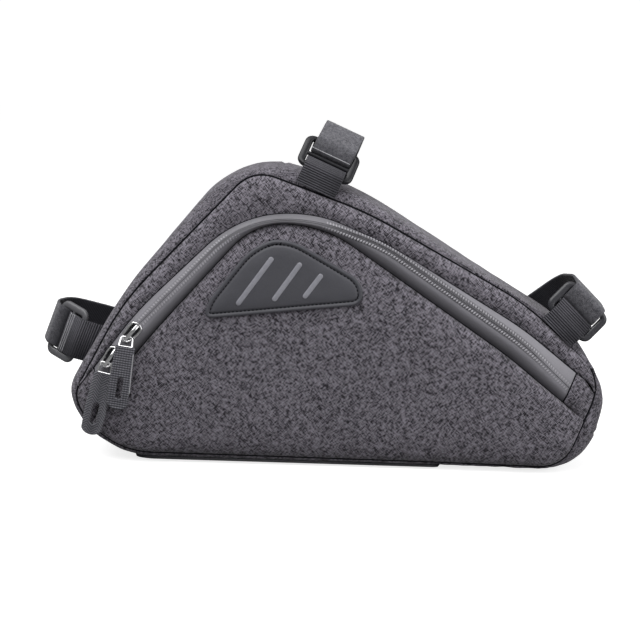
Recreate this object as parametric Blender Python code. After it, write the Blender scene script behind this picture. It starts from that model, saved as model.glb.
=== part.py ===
# Bicycle frame bag: a soft triangular pouch that hangs inside a bicycle frame by three strap loops.
# Metres, +Z up. The bag stands on its base, its front faces -Y, and the origin is the middle of the base.

import math
from collections import namedtuple

import bmesh
import bpy
from mathutils import Vector
from mathutils.bvhtree import BVHTree

# Body
BODY_LENGTH = 0.2865       # nose to nose
BODY_HEIGHT = 0.1602       # underside of the gusset to the top of the apex
BODY_DEPTH = 0.050         # front seam to back seam
GUSSET_WALL = 0.0020
PANEL_WALL = 0.0020
BACK_DOME = 0.0045         # how far the back panel bulges behind its seam
CLEARANCE = 0.0003         # between touching pieces

# Base patch
BASE_WALL = 0.0012
BASE_LEFT = -0.382         # ends of the base patch, as shares of the body length
BASE_RIGHT = 0.201
BASE_WRAP = 0.93           # how far round the rolled edges it reaches, as a share of half the depth

# Relief of the front, measured forward from the front seam
SEAM_RISE = 0.0003
BAND_RISE = 0.0042
RIDGE_RISE = 0.0060
DOME_RISE = 0.0075
TAPE_WALL = 0.0012
END_PIECE_WALL = 0.0016

# Patch and bars
PATCH_WALL = 0.0011
BAR_WIDTH = 0.0027
BAR_WALL = 0.0004

# Zip sliders and pull tabs
SLIDER_LENGTH = 0.0130
SLIDER_WIDTH = 0.0078
SLIDER_WALL = 0.0018
BRIDGE_WIDTH = 0.0024
BRIDGE_HEIGHT = 0.0030
BRIDGE_WALL = 0.0009
LINK_WIRE = 0.0006         # radius
LINK_TOP = 0.0060
LINK_BOTTOM = 0.0072
LINK_LENGTH = 0.0056
PULL_TOP_WIDTH = 0.0102
PULL_WIDTH = 0.0118
PULL_LENGTH = 0.0345
PULL_WALL = 0.0016
PULL_NECK = 0.0054
SLOT_WIDTH = 0.0030
SLOT_LENGTH = 0.0118

# Strap loops
STRAP_WIDTH = 0.0222
TAB_WALL = 0.0012
STRAP_WALL = 0.0013
RING_BAR = 0.0015          # radius of the side bars
RING_PLAY = 0.0009         # between a strap's edge and the ring's end bar
RING_ACROSS = 0.0196
RING_CORNER = 0.0026

# Loop around the bag. x is a share of the body length and z of the body height. The outline is the gusset's
# middle and the seam its edge. reach is how far from the corner its rounding starts, a share of the height.
Corner = namedtuple("Corner", "name x z reach seam_x seam_z seam_reach steps")
CORNERS = (
    Corner("left_nose", -0.509, 0.236, 0.044, -0.497, 0.214, 0.050, 4),
    Corner("left_bend", -0.409, 0.560, 0.130, -0.406, 0.533, 0.125, 3),
    Corner("apex", -0.183, 1.060, 0.252, -0.167, 0.991, 0.084, 7),
    Corner("right_bend", 0.042, 0.907, 0.130, 0.045, 0.858, 0.100, 3),
    Corner("nose_top", 0.440, 0.475, 0.100, 0.341, 0.574, 0.100, 4),
    Corner("nose_mid", 0.511, 0.256, 0.078, 0.499, 0.327, 0.113, 5),
    Corner("nose_low", 0.478, 0.000, 0.160, 0.432, 0.010, 0.090, 5),
    Corner("base_mid", 0.199, 0.000, 0.060, 0.199, 0.016, 0.060, 1),
    Corner("left_base", -0.393, 0.000, 0.094, -0.390, 0.023, 0.075, 3),
    Corner("left_low", -0.487, 0.106, 0.092, -0.465, 0.105, 0.074, 3),
)

# Across the gusset: depth is a share of half the body depth, inset a share of the way to the seam
GussetRow = namedtuple("GussetRow", "depth inset")
GUSSET_ROWS = (
    GussetRow(-1.000, 1.00),
    GussetRow(-0.965, 0.62),
    GussetRow(-0.890, 0.28),
    GussetRow(-0.770, 0.08),
    GussetRow(-0.560, 0.00),
    GussetRow(0.560, 0.00),
    GussetRow(0.770, 0.08),
    GussetRow(0.890, 0.28),
    GussetRow(0.965, 0.62),
    GussetRow(1.000, 1.00),
)

# Where the zip's ends meet the front seam
SeamPoint = namedtuple("SeamPoint", "x z")
LEFT_TOP = SeamPoint(-0.489, 0.240)
LEFT_BOTTOM = SeamPoint(-0.459, 0.118)
RIGHT_TOP = SeamPoint(0.486, 0.271)
RIGHT_BOTTOM = SeamPoint(0.469, 0.174)

# Lines along the zip, between the points above
RailCorner = namedtuple("RailCorner", "x z reach")
BAND_EDGE = (
    RailCorner(-0.376, 0.512, 0.089),
    RailCorner(-0.177, 0.863, 0.187),
    RailCorner(-0.035, 0.843, 0.060),
    RailCorner(0.084, 0.758, 0.089),
    RailCorner(0.340, 0.490, 0.074),
    RailCorner(0.471, 0.308, 0.030),
)
ZIP_LINE = (
    RailCorner(-0.426, 0.353, 0.059),
    RailCorner(-0.373, 0.466, 0.069),
    RailCorner(-0.179, 0.832, 0.163),
    RailCorner(-0.042, 0.824, 0.078),
    RailCorner(0.077, 0.750, 0.074),
    RailCorner(0.342, 0.439, 0.074),
)
LIP_EDGE = (
    RailCorner(-0.411, 0.289, 0.059),
    RailCorner(-0.339, 0.451, 0.074),
    RailCorner(-0.156, 0.824, 0.123),
    RailCorner(-0.027, 0.800, 0.099),
    RailCorner(0.314, 0.392, 0.059),
    RailCorner(0.426, 0.233, 0.025),
)
TAPE_START = 0.036         # ends of the zip tape, as shares of the zip's length
TAPE_END = 0.962

# Sections across the front pieces: along is a share of the way across, rise a share of the named rise
SectionRow = namedtuple("SectionRow", "along rise")
BAND_ROWS = (
    SectionRow(0.00, 0.07),
    SectionRow(0.14, 0.55),
    SectionRow(0.38, 0.93),
    SectionRow(0.68, 1.00),
    SectionRow(1.00, 0.74),
)
TAPE_UPPER_ROWS = (
    SectionRow(0.00, 0.44),
    SectionRow(0.50, 0.76),
    SectionRow(1.00, 0.96),
)
TAPE_LOWER_ROWS = (
    SectionRow(0.00, 0.96),
    SectionRow(0.38, 0.98),
    SectionRow(0.72, 0.66),
    SectionRow(1.00, 0.26),
)
PANEL_ROWS = (
    SectionRow(0.000, 0.30),
    SectionRow(0.014, 0.60),
    SectionRow(0.050, 0.84),
    SectionRow(0.150, 0.97),
    SectionRow(0.420, 1.00),
    SectionRow(0.700, 0.95),
    SectionRow(0.870, 0.80),
    SectionRow(0.950, 0.58),
    SectionRow(0.985, 0.30),
    SectionRow(1.000, 0.04),
)
BACK_ROWS = (
    SectionRow(0.00, 0.07),
    SectionRow(0.04, 0.45),
    SectionRow(0.16, 0.85),
    SectionRow(0.50, 1.00),
    SectionRow(0.84, 0.85),
    SectionRow(0.96, 0.45),
    SectionRow(1.00, 0.07),
)
ALONG_STEPS = 38
END_FADE = 0.10            # share of the length over which the relief grows from the noses

# Corners of the patch and ends of its three bars, as shares of the body
PatchCorner = namedtuple("PatchCorner", "x z reach")
PATCH_CORNERS = (
    PatchCorner(-0.252, 0.495, 0.035),
    PatchCorner(-0.243, 0.556, 0.030),
    PatchCorner(-0.160, 0.752, 0.084),
    PatchCorner(-0.100, 0.773, 0.069),
    PatchCorner(0.044, 0.631, 0.059),
    PatchCorner(0.039, 0.556, 0.035),
)
Bar = namedtuple("Bar", "name top_x top_z bottom_x bottom_z")
BARS = (
    Bar("reflective_bar_left", -0.129, 0.700, -0.187, 0.553),
    Bar("reflective_bar_middle", -0.077, 0.684, -0.121, 0.570),
    Bar("reflective_bar_right", -0.038, 0.649, -0.065, 0.582),
)

# Zip sliders: along is a share of the zip's length. The pull tab leans sideways and its link swings forward.
Slider = namedtuple("Slider", "name along lean swing")
SLIDERS = (
    Slider("upper", 0.143, 7.5, 34),
    Slider("lower", 0.093, 12.5, 12),
)

# Strap loops: x and z find the place on the outline and slide moves it along. turn is the loop's extra turn
# across the slope. y is a share of half the body depth, n is in metres outward from the gusset.
StrapLoop = namedtuple(
    "StrapLoop", "name x z slide turn root_y root_n ring_y ring_n tilt fold_y fold_n back_y back_n seam_n lean")
STRAP_LOOPS = (
    StrapLoop("top", -0.041, 0.953, -0.0012, -2.5, -1.045, -0.0064, -1.00, 0.0034, 36,
              -0.10, 0.0284, 0.60, 0.0232, -0.0062, 0.0044),
    StrapLoop("left", -0.464, 0.382, 0.0, 9.0, -0.62, 0.0007, -0.64, 0.0084, 34,
              -0.02, 0.0275, 0.66, 0.0225, -0.0030, 0.0040),
    StrapLoop("right", 0.413, 0.494, 0.0, -6.0, -1.060, -0.0046, -1.00, 0.0026, 10,
              -0.25, 0.0230, 0.62, 0.0180, -0.0036, -0.0036),
)

HALF_DEPTH = BODY_DEPTH / 2
UNDERSIDE = BASE_WALL + CLEARANCE      # height of the gusset's underside
RING_LENGTH = STRAP_WIDTH + 2 * RING_PLAY + 4 * RING_BAR


# Points and lines

def body_x(share):
    return share * BODY_LENGTH


def body_z(share):
    return UNDERSIDE + share * BODY_HEIGHT


def body_point(row):
    return Vector((body_x(row.x), body_z(row.z)))


def rounded_path(corners, closed):
    # Corners are (point, reach, steps). A corner is a quadratic curve that starts and ends at its reach.
    points = []
    count = len(corners)
    for index, (corner, reach, steps) in enumerate(corners):
        if not closed and index in (0, count - 1):
            points.append(corner.copy())
            continue
        before = (corners[index - 1][0] - corner).normalized()
        after = (corners[(index + 1) % count][0] - corner).normalized()
        start = corner + before * reach
        end = corner + after * reach
        for step in range(steps + 1):
            share = step / steps
            points.append(start * (1 - share) ** 2 + corner * 2 * share * (1 - share) + end * share ** 2)
    return points


class Line:
    # A line through points that is read by the share of its length
    def __init__(self, points, closed=False):
        self.closed = closed
        self.points = list(points)
        if closed:
            self.points.append(points[0])
        self.marks = [0.0]
        for first, second in zip(self.points, self.points[1:]):
            self.marks.append(self.marks[-1] + (second - first).length)

    def length(self):
        return self.marks[-1]

    def at(self, share):
        wanted = share * self.length()
        if self.closed:
            wanted %= self.length()
        wanted = min(max(wanted, 0.0), self.length())
        for index in range(len(self.marks) - 1):
            if wanted <= self.marks[index + 1]:
                break
        span = self.marks[index + 1] - self.marks[index]
        part = (wanted - self.marks[index]) / span if span else 0.0
        return self.points[index].lerp(self.points[index + 1], part)

    def nearest(self, point):
        best = (math.inf, 0.0)
        for index in range(len(self.marks) - 1):
            first = self.points[index]
            along = self.points[index + 1] - first
            if along.length == 0:
                continue
            part = min(max((point - first).dot(along) / along.length_squared, 0.0), 1.0)
            distance = (first + along * part - point).length
            share = (self.marks[index] + along.length * part) / self.length()
            best = min(best, (distance, share))
        return best[1]

    def part(self, start, end, steps):
        return [self.at(start + (end - start) * step / steps) for step in range(steps + 1)]

    def direction(self, share):
        step = 0.004
        return (self.at(share + step) - self.at(share - step)).normalized()


def shifted(points, distance):
    # The line moved sideways, to the right of its way when the distance is positive
    moved = []
    for index, point in enumerate(points):
        before = points[max(index - 1, 0)]
        after = points[min(index + 1, len(points) - 1)]
        way = after - before
        if way.length == 0:
            moved.append(point.copy())
            continue
        way.normalize()
        moved.append(point + Vector((way.y, -way.x)) * distance)
    return moved


# Objects

def clear_scene():
    for thing in list(bpy.data.objects):
        bpy.data.objects.remove(thing, do_unlink=True)


def make_material(name, colour, roughness, metallic=0.0):
    material = bpy.data.materials.new(name)
    material.use_nodes = True
    shader = material.node_tree.nodes["Principled BSDF"]
    shader.inputs["Base Color"].default_value = (*colour, 1.0)
    shader.inputs["Roughness"].default_value = roughness
    shader.inputs["Metallic"].default_value = metallic
    return material


def make_object(name, vertices, faces, material, smooth=40):
    mesh = bpy.data.meshes.new(name)
    mesh.from_pydata([tuple(vertex) for vertex in vertices], [], faces)
    shape = bmesh.new()
    shape.from_mesh(mesh)
    bmesh.ops.remove_doubles(shape, verts=shape.verts, dist=0.00001)
    bmesh.ops.recalc_face_normals(shape, faces=shape.faces)
    if shape.calc_volume(signed=True) < 0:
        bmesh.ops.reverse_faces(shape, faces=shape.faces)
    shape.to_mesh(mesh)
    shape.free()
    mesh.materials.append(material)
    mesh.shade_smooth()
    mesh.set_sharp_from_angle(angle=math.radians(smooth))
    thing = bpy.data.objects.new(name, mesh)
    bpy.context.scene.collection.objects.link(thing)
    return thing


def shell(name, outer, inner, material, closed=False):
    # A wall between two grids of points. A closed shell joins its last row to its first.
    rows = len(outer)
    columns = len(outer[0])
    vertices = [point for row in outer for point in row] + [point for row in inner for point in row]
    back = rows * columns
    faces = []
    row_pairs = [(row, row + 1) for row in range(rows - 1)]
    if closed:
        row_pairs.append((rows - 1, 0))
    for first, second in row_pairs:
        for column in range(columns - 1):
            a = first * columns + column
            b = second * columns + column
            faces.append((a, a + 1, b + 1, b))
            faces.append((back + a, back + b, back + b + 1, back + a + 1))
        for column in (0, columns - 1):
            a = first * columns + column
            b = second * columns + column
            faces.append((a, b, back + b, back + a))
    if not closed:
        for row in (0, rows - 1):
            for column in range(columns - 1):
                a = row * columns + column
                faces.append((a, a + 1, back + a + 1, back + a))
    return make_object(name, vertices, faces, material)


def front_sheet(name, rows, wall, material):
    # Rows hold (point in the XZ plane, rise). The wall goes straight back from the front surface.
    outer = [[Vector((p.x, -HALF_DEPTH - rise, p.y)) for p, rise in row] for row in rows]
    inner = [[point + Vector((0, wall, 0)) for point in row] for row in outer]
    return shell(name, outer, inner, material)


def prism(name, outline, to_world, low, high, material):
    # A closed outline pushed from one height to another. to_world turns (u, v, height) into a place.
    count = len(outline)
    vertices = [to_world(p.x, p.y, low) for p in outline] + [to_world(p.x, p.y, high) for p in outline]
    faces = [tuple(range(count)), tuple(range(2 * count - 1, count - 1, -1))]
    for index in range(count):
        after = (index + 1) % count
        faces.append((index, after, count + after, count + index))
    return make_object(name, vertices, faces, material)


def tube(name, path, radius, sides, material, closed=True):
    # A round wire along a flat path. The path lies in the plane whose normal is given by its first points.
    count = len(path)
    normal = (path[1] - path[0]).cross(path[count // 2] - path[0]).normalized()
    vertices = []
    for index, point in enumerate(path):
        way = (path[(index + 1) % count] - path[index - 1]).normalized()
        side = way.cross(normal).normalized()
        for step in range(sides):
            angle = 2 * math.pi * (step + 0.5) / sides
            vertices.append(point + (side * math.cos(angle) + normal * math.sin(angle)) * radius)
    faces = []
    for index in range(count):
        after = (index + 1) % count
        for step in range(sides):
            beside = (step + 1) % sides
            faces.append((index * sides + step, index * sides + beside,
                          after * sides + beside, after * sides + step))
    return make_object(name, vertices, faces, material, smooth=50)


def join_solids(main, other):
    # The other object becomes part of the main one
    union = main.modifiers.new("union", "BOOLEAN")
    union.operation = "UNION"
    union.object = other
    apply_modifiers(main)
    bpy.data.objects.remove(other, do_unlink=True)


def cut_solid(main, cutter):
    cut = main.modifiers.new("cut", "BOOLEAN")
    cut.operation = "DIFFERENCE"
    cut.object = cutter
    apply_modifiers(main)
    bpy.data.objects.remove(cutter, do_unlink=True)


def apply_modifiers(thing):
    bpy.context.view_layer.update()
    graph = bpy.context.evaluated_depsgraph_get()
    mesh = bpy.data.meshes.new_from_object(thing.evaluated_get(graph))
    thing.modifiers.clear()
    thing.data = mesh


def surface_finder(thing):
    # Returns the front height of an object above a place in the XZ plane
    mesh = thing.data
    tree = BVHTree.FromPolygons([v.co.copy() for v in mesh.vertices], [tuple(p.vertices) for p in mesh.polygons])
    start = -4 * HALF_DEPTH

    def find(point):
        hit = tree.ray_cast(Vector((point.x, start, point.y)), Vector((0, 1, 0)))
        return hit[0].y if hit[0] is not None else None

    return find


# Body

def loop_corners(kind):
    corners = []
    for row in CORNERS:
        if kind == "outline":
            corners.append((Vector((body_x(row.x), body_z(row.z))), row.reach * BODY_HEIGHT, row.steps))
        else:
            corners.append((Vector((body_x(row.seam_x), body_z(row.seam_z))), row.seam_reach * BODY_HEIGHT, row.steps))
    return corners


def gusset_grid(proud):
    # Rows run along the bag's outline and columns across its depth, moved outward by proud
    outline = rounded_path(loop_corners("outline"), closed=True)
    seam = rounded_path(loop_corners("seam"), closed=True)
    count = len(outline)
    rows = []
    for index in range(count):
        way = (outline[(index + 1) % count] - outline[index - 1]).normalized()
        outward = Vector((-way.y, way.x))
        inward = seam[index] - outline[index]
        row = []
        for number, section in enumerate(GUSSET_ROWS):
            before = GUSSET_ROWS[max(number - 1, 0)]
            after = GUSSET_ROWS[min(number + 1, len(GUSSET_ROWS) - 1)]
            fall = (after.inset - before.inset) * inward.length
            run = (after.depth - before.depth) * HALF_DEPTH
            flat = outline[index] + inward * section.inset
            normal = Vector((outward.x * run, fall, outward.y * run)).normalized()
            if abs(section.depth) == 1.0:
                normal = Vector((0, section.depth, 0))
            row.append(Vector((flat.x, section.depth * HALF_DEPTH, flat.y)) + normal * proud)
        rows.append(row)
    return rows


def build_gusset(material):
    return shell("gusset", gusset_grid(0.0), gusset_grid(-GUSSET_WALL), material, closed=True)


def base_row(rows, x):
    # The gusset's section at a place along the bottom, between its two nearest rows
    for first, second in zip(rows, rows[1:] + rows[:1]):
        if second[4].x <= x <= first[4].x and first[4].z < 0.3 * BODY_HEIGHT:
            share = (first[4].x - x) / (first[4].x - second[4].x)
            return [a.lerp(b, share) for a, b in zip(first, second)]
    return None


def trimmed(row, reach):
    # The part of a section that lies within the reach, with its ends cut exactly there
    kept = []
    for first, second in zip(row, row[1:]):
        for point in (first, second):
            if abs(point.y) <= reach and (not kept or point != kept[-1]):
                kept.append(point)
        if abs(first.y) > reach >= abs(second.y):
            share = (abs(first.y) - reach) / (abs(first.y) - abs(second.y))
            kept.insert(len(kept) - 1, first.lerp(second, share))
        if abs(second.y) > reach >= abs(first.y):
            share = (reach - abs(first.y)) / (abs(second.y) - abs(first.y))
            kept.append(first.lerp(second, share))
    return kept


def build_base(material):
    steps = 12
    reach = BASE_WRAP * HALF_DEPTH
    near = gusset_grid(CLEARANCE)
    far = gusset_grid(CLEARANCE + BASE_WALL)
    left = body_x(BASE_LEFT)
    right = body_x(BASE_RIGHT)
    bends = [row[4].x for row in near if row[4].z < 0.3 * BODY_HEIGHT and left < row[4].x < right]
    places = sorted([left + (right - left) * step / steps for step in range(steps + 1)] + bends, reverse=True)
    inner = []
    outer = []
    for x in places:
        inner.append(trimmed(base_row(near, x), reach))
        outer.append(trimmed(base_row(far, x), reach))
    return shell("base_panel", outer, inner, material)


def front_lines():
    # The seam and the lines of the zip, each from the left nose to the right nose
    fine = [(corner, reach, steps * 3) for corner, reach, steps in loop_corners("seam")]
    seam = Line(shifted_loop(rounded_path(fine, closed=True), CLEARANCE * 1.2), closed=True)
    marks = {}
    for name, row in (("left_top", LEFT_TOP), ("left_bottom", LEFT_BOTTOM),
                      ("right_top", RIGHT_TOP), ("right_bottom", RIGHT_BOTTOM)):
        marks[name] = seam.nearest(body_point(row))
    if marks["left_bottom"] < 0.5:
        marks["left_bottom"] += 1.0
    left_top = seam.at(marks["left_top"])
    right_top = seam.at(marks["right_top"])
    left_bottom = seam.at(marks["left_bottom"])
    right_bottom = seam.at(marks["right_bottom"])
    zip_left = (left_top + left_bottom) / 2
    zip_right = (right_top + right_bottom) / 2
    rails = {}
    for name, rows, start, end in (("band", BAND_EDGE, left_top, right_top),
                                   ("zip", ZIP_LINE, zip_left, zip_right),
                                   ("lip", LIP_EDGE, left_bottom, right_bottom)):
        corners = [(start, 0, 0)]
        corners += [(body_point(row), row.reach * BODY_HEIGHT, 8) for row in rows]
        corners.append((end, 0, 0))
        rails[name] = Line(rounded_path(corners, closed=False))
    return seam, marks, rails


def shifted_loop(points, distance):
    moved = shifted([points[-1]] + points + [points[0]], distance)
    return moved[1:-1]


def end_fade(share):
    near = min(share, 1 - share) / END_FADE
    return 1 - (1 - min(near, 1.0)) ** 2


def ruled_rows(first, second, sections, rise, fades):
    rows = []
    for start, end, fade in zip(first, second, fades):
        row = []
        for section in sections:
            height = SEAM_RISE + (section.rise * rise - SEAM_RISE) * fade
            row.append((start.lerp(end, section.along), max(height, SEAM_RISE)))
        rows.append(row)
    return rows


def tape_rows(rails, upper):
    steps = ALONG_STEPS
    half = CLEARANCE / 2
    shares = [TAPE_START + (TAPE_END - TAPE_START) * step / steps for step in range(steps + 1)]
    fades = [end_fade(share) for share in shares]
    zip_points = rails["zip"].part(TAPE_START, TAPE_END, steps)
    if upper:
        band_points = rails["band"].part(TAPE_START, TAPE_END, steps)
        return ruled_rows(shifted(band_points, half), shifted(zip_points, -half),
                          TAPE_UPPER_ROWS, RIDGE_RISE, fades)
    lip_points = rails["lip"].part(TAPE_START, TAPE_END, steps)
    return ruled_rows(shifted(zip_points, half), shifted(lip_points, -half), TAPE_LOWER_ROWS, RIDGE_RISE, fades)


def build_front(cloth, tape, seam, marks, rails):
    shares = [step / ALONG_STEPS for step in range(ALONG_STEPS + 1)]
    fades = [end_fade(share) for share in shares]
    half = CLEARANCE / 2
    top_seam = seam.part(marks["left_top"], marks["right_top"], ALONG_STEPS)
    band = shifted(rails["band"].part(0, 1, ALONG_STEPS), -half)
    front_sheet("front_panel_upper", ruled_rows(top_seam, band, BAND_ROWS, BAND_RISE, fades), PANEL_WALL, cloth)
    front_sheet("zipper_tape_upper", tape_rows(rails, True), TAPE_WALL, tape)
    front_sheet("zipper_tape_lower", tape_rows(rails, False), TAPE_WALL, tape)
    low_seam = seam.part(marks["left_bottom"], marks["right_bottom"], ALONG_STEPS)
    lip = shifted(rails["lip"].part(0, 1, ALONG_STEPS), half)
    return front_sheet("front_panel_lower", ruled_rows(lip, low_seam, PANEL_ROWS, DOME_RISE, fades),
                       PANEL_WALL, cloth)


def build_end_piece(name, seam_points, tape_section, material):
    # Cloth between the end of the zip tape and the seam, in three steps
    steps = 3
    count = len(tape_section)
    rows = []
    for step in range(steps + 1):
        share = step / steps
        row = []
        for index in range(count):
            edge, rise = tape_section[index]
            point = seam_points[index].lerp(edge, share)
            row.append((point, SEAM_RISE + (rise - SEAM_RISE) * share ** 0.6))
        rows.append(row)
    return front_sheet(name, rows, END_PIECE_WALL, material)


def end_section(rails, share, inset):
    # The section of the whole tape at one end, from the band to the lower panel
    band = rails["band"].at(share)
    middle = rails["zip"].at(share)
    lip = rails["lip"].at(share)
    fade = end_fade(share)
    points = []
    for start, end, sections in ((band, middle, TAPE_UPPER_ROWS), (middle, lip, TAPE_LOWER_ROWS[1:])):
        for section in sections:
            height = SEAM_RISE + (section.rise * RIDGE_RISE - SEAM_RISE) * fade
            points.append((start.lerp(end, section.along), height))
    across = (lip - band).normalized() * inset
    points[0] = (points[0][0] + across, points[0][1])
    points[-1] = (points[-1][0] - across, points[-1][1])
    return points


def build_zip_ends(material, seam, marks, rails):
    apart = CLEARANCE / rails["zip"].length()
    left = end_section(rails, TAPE_START - apart, CLEARANCE)
    right = end_section(rails, TAPE_END + apart, CLEARANCE)
    count = len(left)
    margin = CLEARANCE / seam.length()
    left_seam = seam.part(marks["left_top"] - margin, marks["left_bottom"] - 1.0 + margin, count - 1)
    right_seam = seam.part(marks["right_top"] + margin, marks["right_bottom"] - margin, count - 1)
    build_end_piece("zip_end_left", left_seam, left, material)
    build_end_piece("zip_end_right", right_seam, right, material)


def build_back(material, seam, marks):
    left = (marks["left_top"] + marks["left_bottom"] - 1.0) / 2
    right = (marks["right_top"] + marks["right_bottom"]) / 2
    upper = seam.part(left, right, ALONG_STEPS)
    lower = seam.part(left + 1.0, right, ALONG_STEPS)
    fades = [end_fade(step / ALONG_STEPS) for step in range(ALONG_STEPS + 1)]
    rows = ruled_rows(upper, lower, BACK_ROWS, BACK_DOME, fades)
    outer = [[Vector((p.x, HALF_DEPTH + rise, p.y)) for p, rise in row] for row in rows]
    inner = [[point - Vector((0, PANEL_WALL, 0)) for point in row] for row in outer]
    return shell("back_panel", outer, inner, material)


# Patch and bars

def draped_disc(name, outline, rings, find, gap, wall, material):
    # A flat shape laid over the surface under it, in rings from its edge to its middle
    centre = sum(outline, Vector((0, 0))) / len(outline)
    top = []
    bottom = []
    for ring in rings:
        upper_row = []
        lower_row = []
        for point in outline:
            place = centre.lerp(point, ring)
            height = find(place)
            lower_row.append(Vector((place.x, height - gap, place.y)))
            upper_row.append(Vector((place.x, height - gap - wall, place.y)))
        top.append(upper_row)
        bottom.append(lower_row)
    count = len(outline)
    vertices = [point for row in top for point in row] + [point for row in bottom for point in row]
    back = len(rings) * count
    faces = []
    for ring in range(len(rings) - 1):
        for index in range(count):
            after = (index + 1) % count
            a, b = ring * count + index, ring * count + after
            c, d = a + count, b + count
            faces.append((a, b, d, c))
            faces.append((back + a, back + c, back + d, back + b))
    for index in range(count):
        after = (index + 1) % count
        faces.append((index, back + index, back + after, after))
    last = (len(rings) - 1) * count
    middle = find(centre)
    vertices.append(Vector((centre.x, middle - gap - wall, centre.y)))
    vertices.append(Vector((centre.x, middle - gap, centre.y)))
    for index in range(count):
        after = (index + 1) % count
        faces.append((last + index, last + after, len(vertices) - 2))
        faces.append((back + last + after, back + last + index, len(vertices) - 1))
    return make_object(name, vertices, faces, material)


def build_patch(patch_material, bar_material, panel):
    corners = [(body_point(row), row.reach * BODY_HEIGHT, 5) for row in PATCH_CORNERS]
    outline = rounded_path(corners, closed=True)
    gap = 0.0004
    rings = (1.0, 0.9, 0.65, 0.3)
    patch = draped_disc("patch", outline, rings, surface_finder(panel), gap, PATCH_WALL, patch_material)
    find = surface_finder(patch)
    for bar in BARS:
        top = Vector((body_x(bar.top_x), body_z(bar.top_z)))
        bottom = Vector((body_x(bar.bottom_x), body_z(bar.bottom_z)))
        outline = slot_outline(bottom, top, BAR_WIDTH / 2)
        draped_disc(bar.name, outline, (1.0, 0.5), find, CLEARANCE, BAR_WALL, bar_material)


def slot_outline(start, end, radius):
    # A round-ended slot between two points
    way = (end - start).normalized()
    side = Vector((-way.y, way.x))
    points = []
    steps = 5
    for step in range(steps + 1):
        angle = math.pi * step / steps
        points.append(end + side * radius * math.cos(angle) + way * radius * math.sin(angle))
    for step in range(steps + 1):
        angle = math.pi * step / steps
        points.append(start - side * radius * math.cos(angle) - way * radius * math.sin(angle))
    return points


# Zip sliders and pull tabs

def build_slider(row, rails, chrome, webbing):
    place = rails["zip"].at(row.along)
    way = rails["zip"].direction(row.along)
    side = Vector((-way.y, way.x))
    floor = HALF_DEPTH + RIDGE_RISE * end_fade(row.along) + CLEARANCE

    def to_world(along, across, height):
        flat = place + way * along + side * across
        return Vector((flat.x, -floor - height, flat.y))

    half_length = SLIDER_LENGTH / 2
    half_width = SLIDER_WIDTH / 2
    outline = [Vector(p) for p in (
        (-half_length, -0.50 * half_width), (-0.5 * half_length, -0.92 * half_width), (0.3 * half_length, -half_width),
        (half_length, -0.80 * half_width), (half_length, 0.80 * half_width), (0.3 * half_length, half_width),
        (-0.5 * half_length, 0.92 * half_width), (-half_length, 0.50 * half_width))]
    body = prism("slider_" + row.name, outline, to_world, 0.0, SLIDER_WALL, chrome)
    top = SLIDER_WALL + BRIDGE_HEIGHT
    foot = 0.86 * half_length
    arch_outer = [Vector(p) for p in (
        (-foot, SLIDER_WALL / 2), (-foot, top - BRIDGE_WALL), (-foot + BRIDGE_WALL, top),
        (foot - 2 * BRIDGE_WALL, top), (foot, top - 2 * BRIDGE_WALL), (foot, SLIDER_WALL / 2),
        (foot - BRIDGE_WALL, SLIDER_WALL / 2), (foot - BRIDGE_WALL, top - 2 * BRIDGE_WALL),
        (foot - 2 * BRIDGE_WALL, top - BRIDGE_WALL), (-foot + BRIDGE_WALL, top - BRIDGE_WALL),
        (-foot + BRIDGE_WALL, SLIDER_WALL / 2))]

    def arch_world(along, height, across):
        return to_world(along, across, height)

    arch = prism("arch", arch_outer, arch_world, -BRIDGE_WIDTH / 2, BRIDGE_WIDTH / 2, chrome)
    join_solids(body, arch)

    # The link passes under the bridge and swings forward, and the pull tab hangs straight down from it
    lean = math.radians(row.lean)
    swing = math.radians(row.swing)
    hang = Vector((-math.sin(lean), -math.cos(lean)))
    beside = Vector((-hang.y, hang.x))
    crossing = abs(beside.dot(side))
    slack = (LINK_WIRE + CLEARANCE) / crossing + BRIDGE_WIDTH / 2 * math.sqrt(1 - crossing ** 2) / crossing
    eye = place - way * (foot - BRIDGE_WALL - slack)
    link_y = -floor - SLIDER_WALL - LINK_WIRE - CLEARANCE

    def link_world(across, drop):
        flat = eye + beside * across + hang * drop * math.cos(swing)
        return Vector((flat.x, link_y - drop * math.sin(swing), flat.y))

    corners = []
    for across, drop, reach in ((-LINK_TOP / 2, 0.0, 0.0012), (LINK_TOP / 2, 0.0, 0.0012),
                                (LINK_BOTTOM / 2, LINK_LENGTH, 0.0007), (-LINK_BOTTOM / 2, LINK_LENGTH, 0.0007)):
        corners.append((Vector((across, drop)), reach, 3))
    path = [link_world(p.x, p.y) for p in rounded_path(corners, closed=True)]
    tube("pull_link_" + row.name, path, LINK_WIRE, 6, chrome)
    bar = eye + hang * LINK_LENGTH * math.cos(swing)
    build_pull_tab(row, bar, hang, beside, link_y - LINK_LENGTH * math.sin(swing), webbing)


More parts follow.
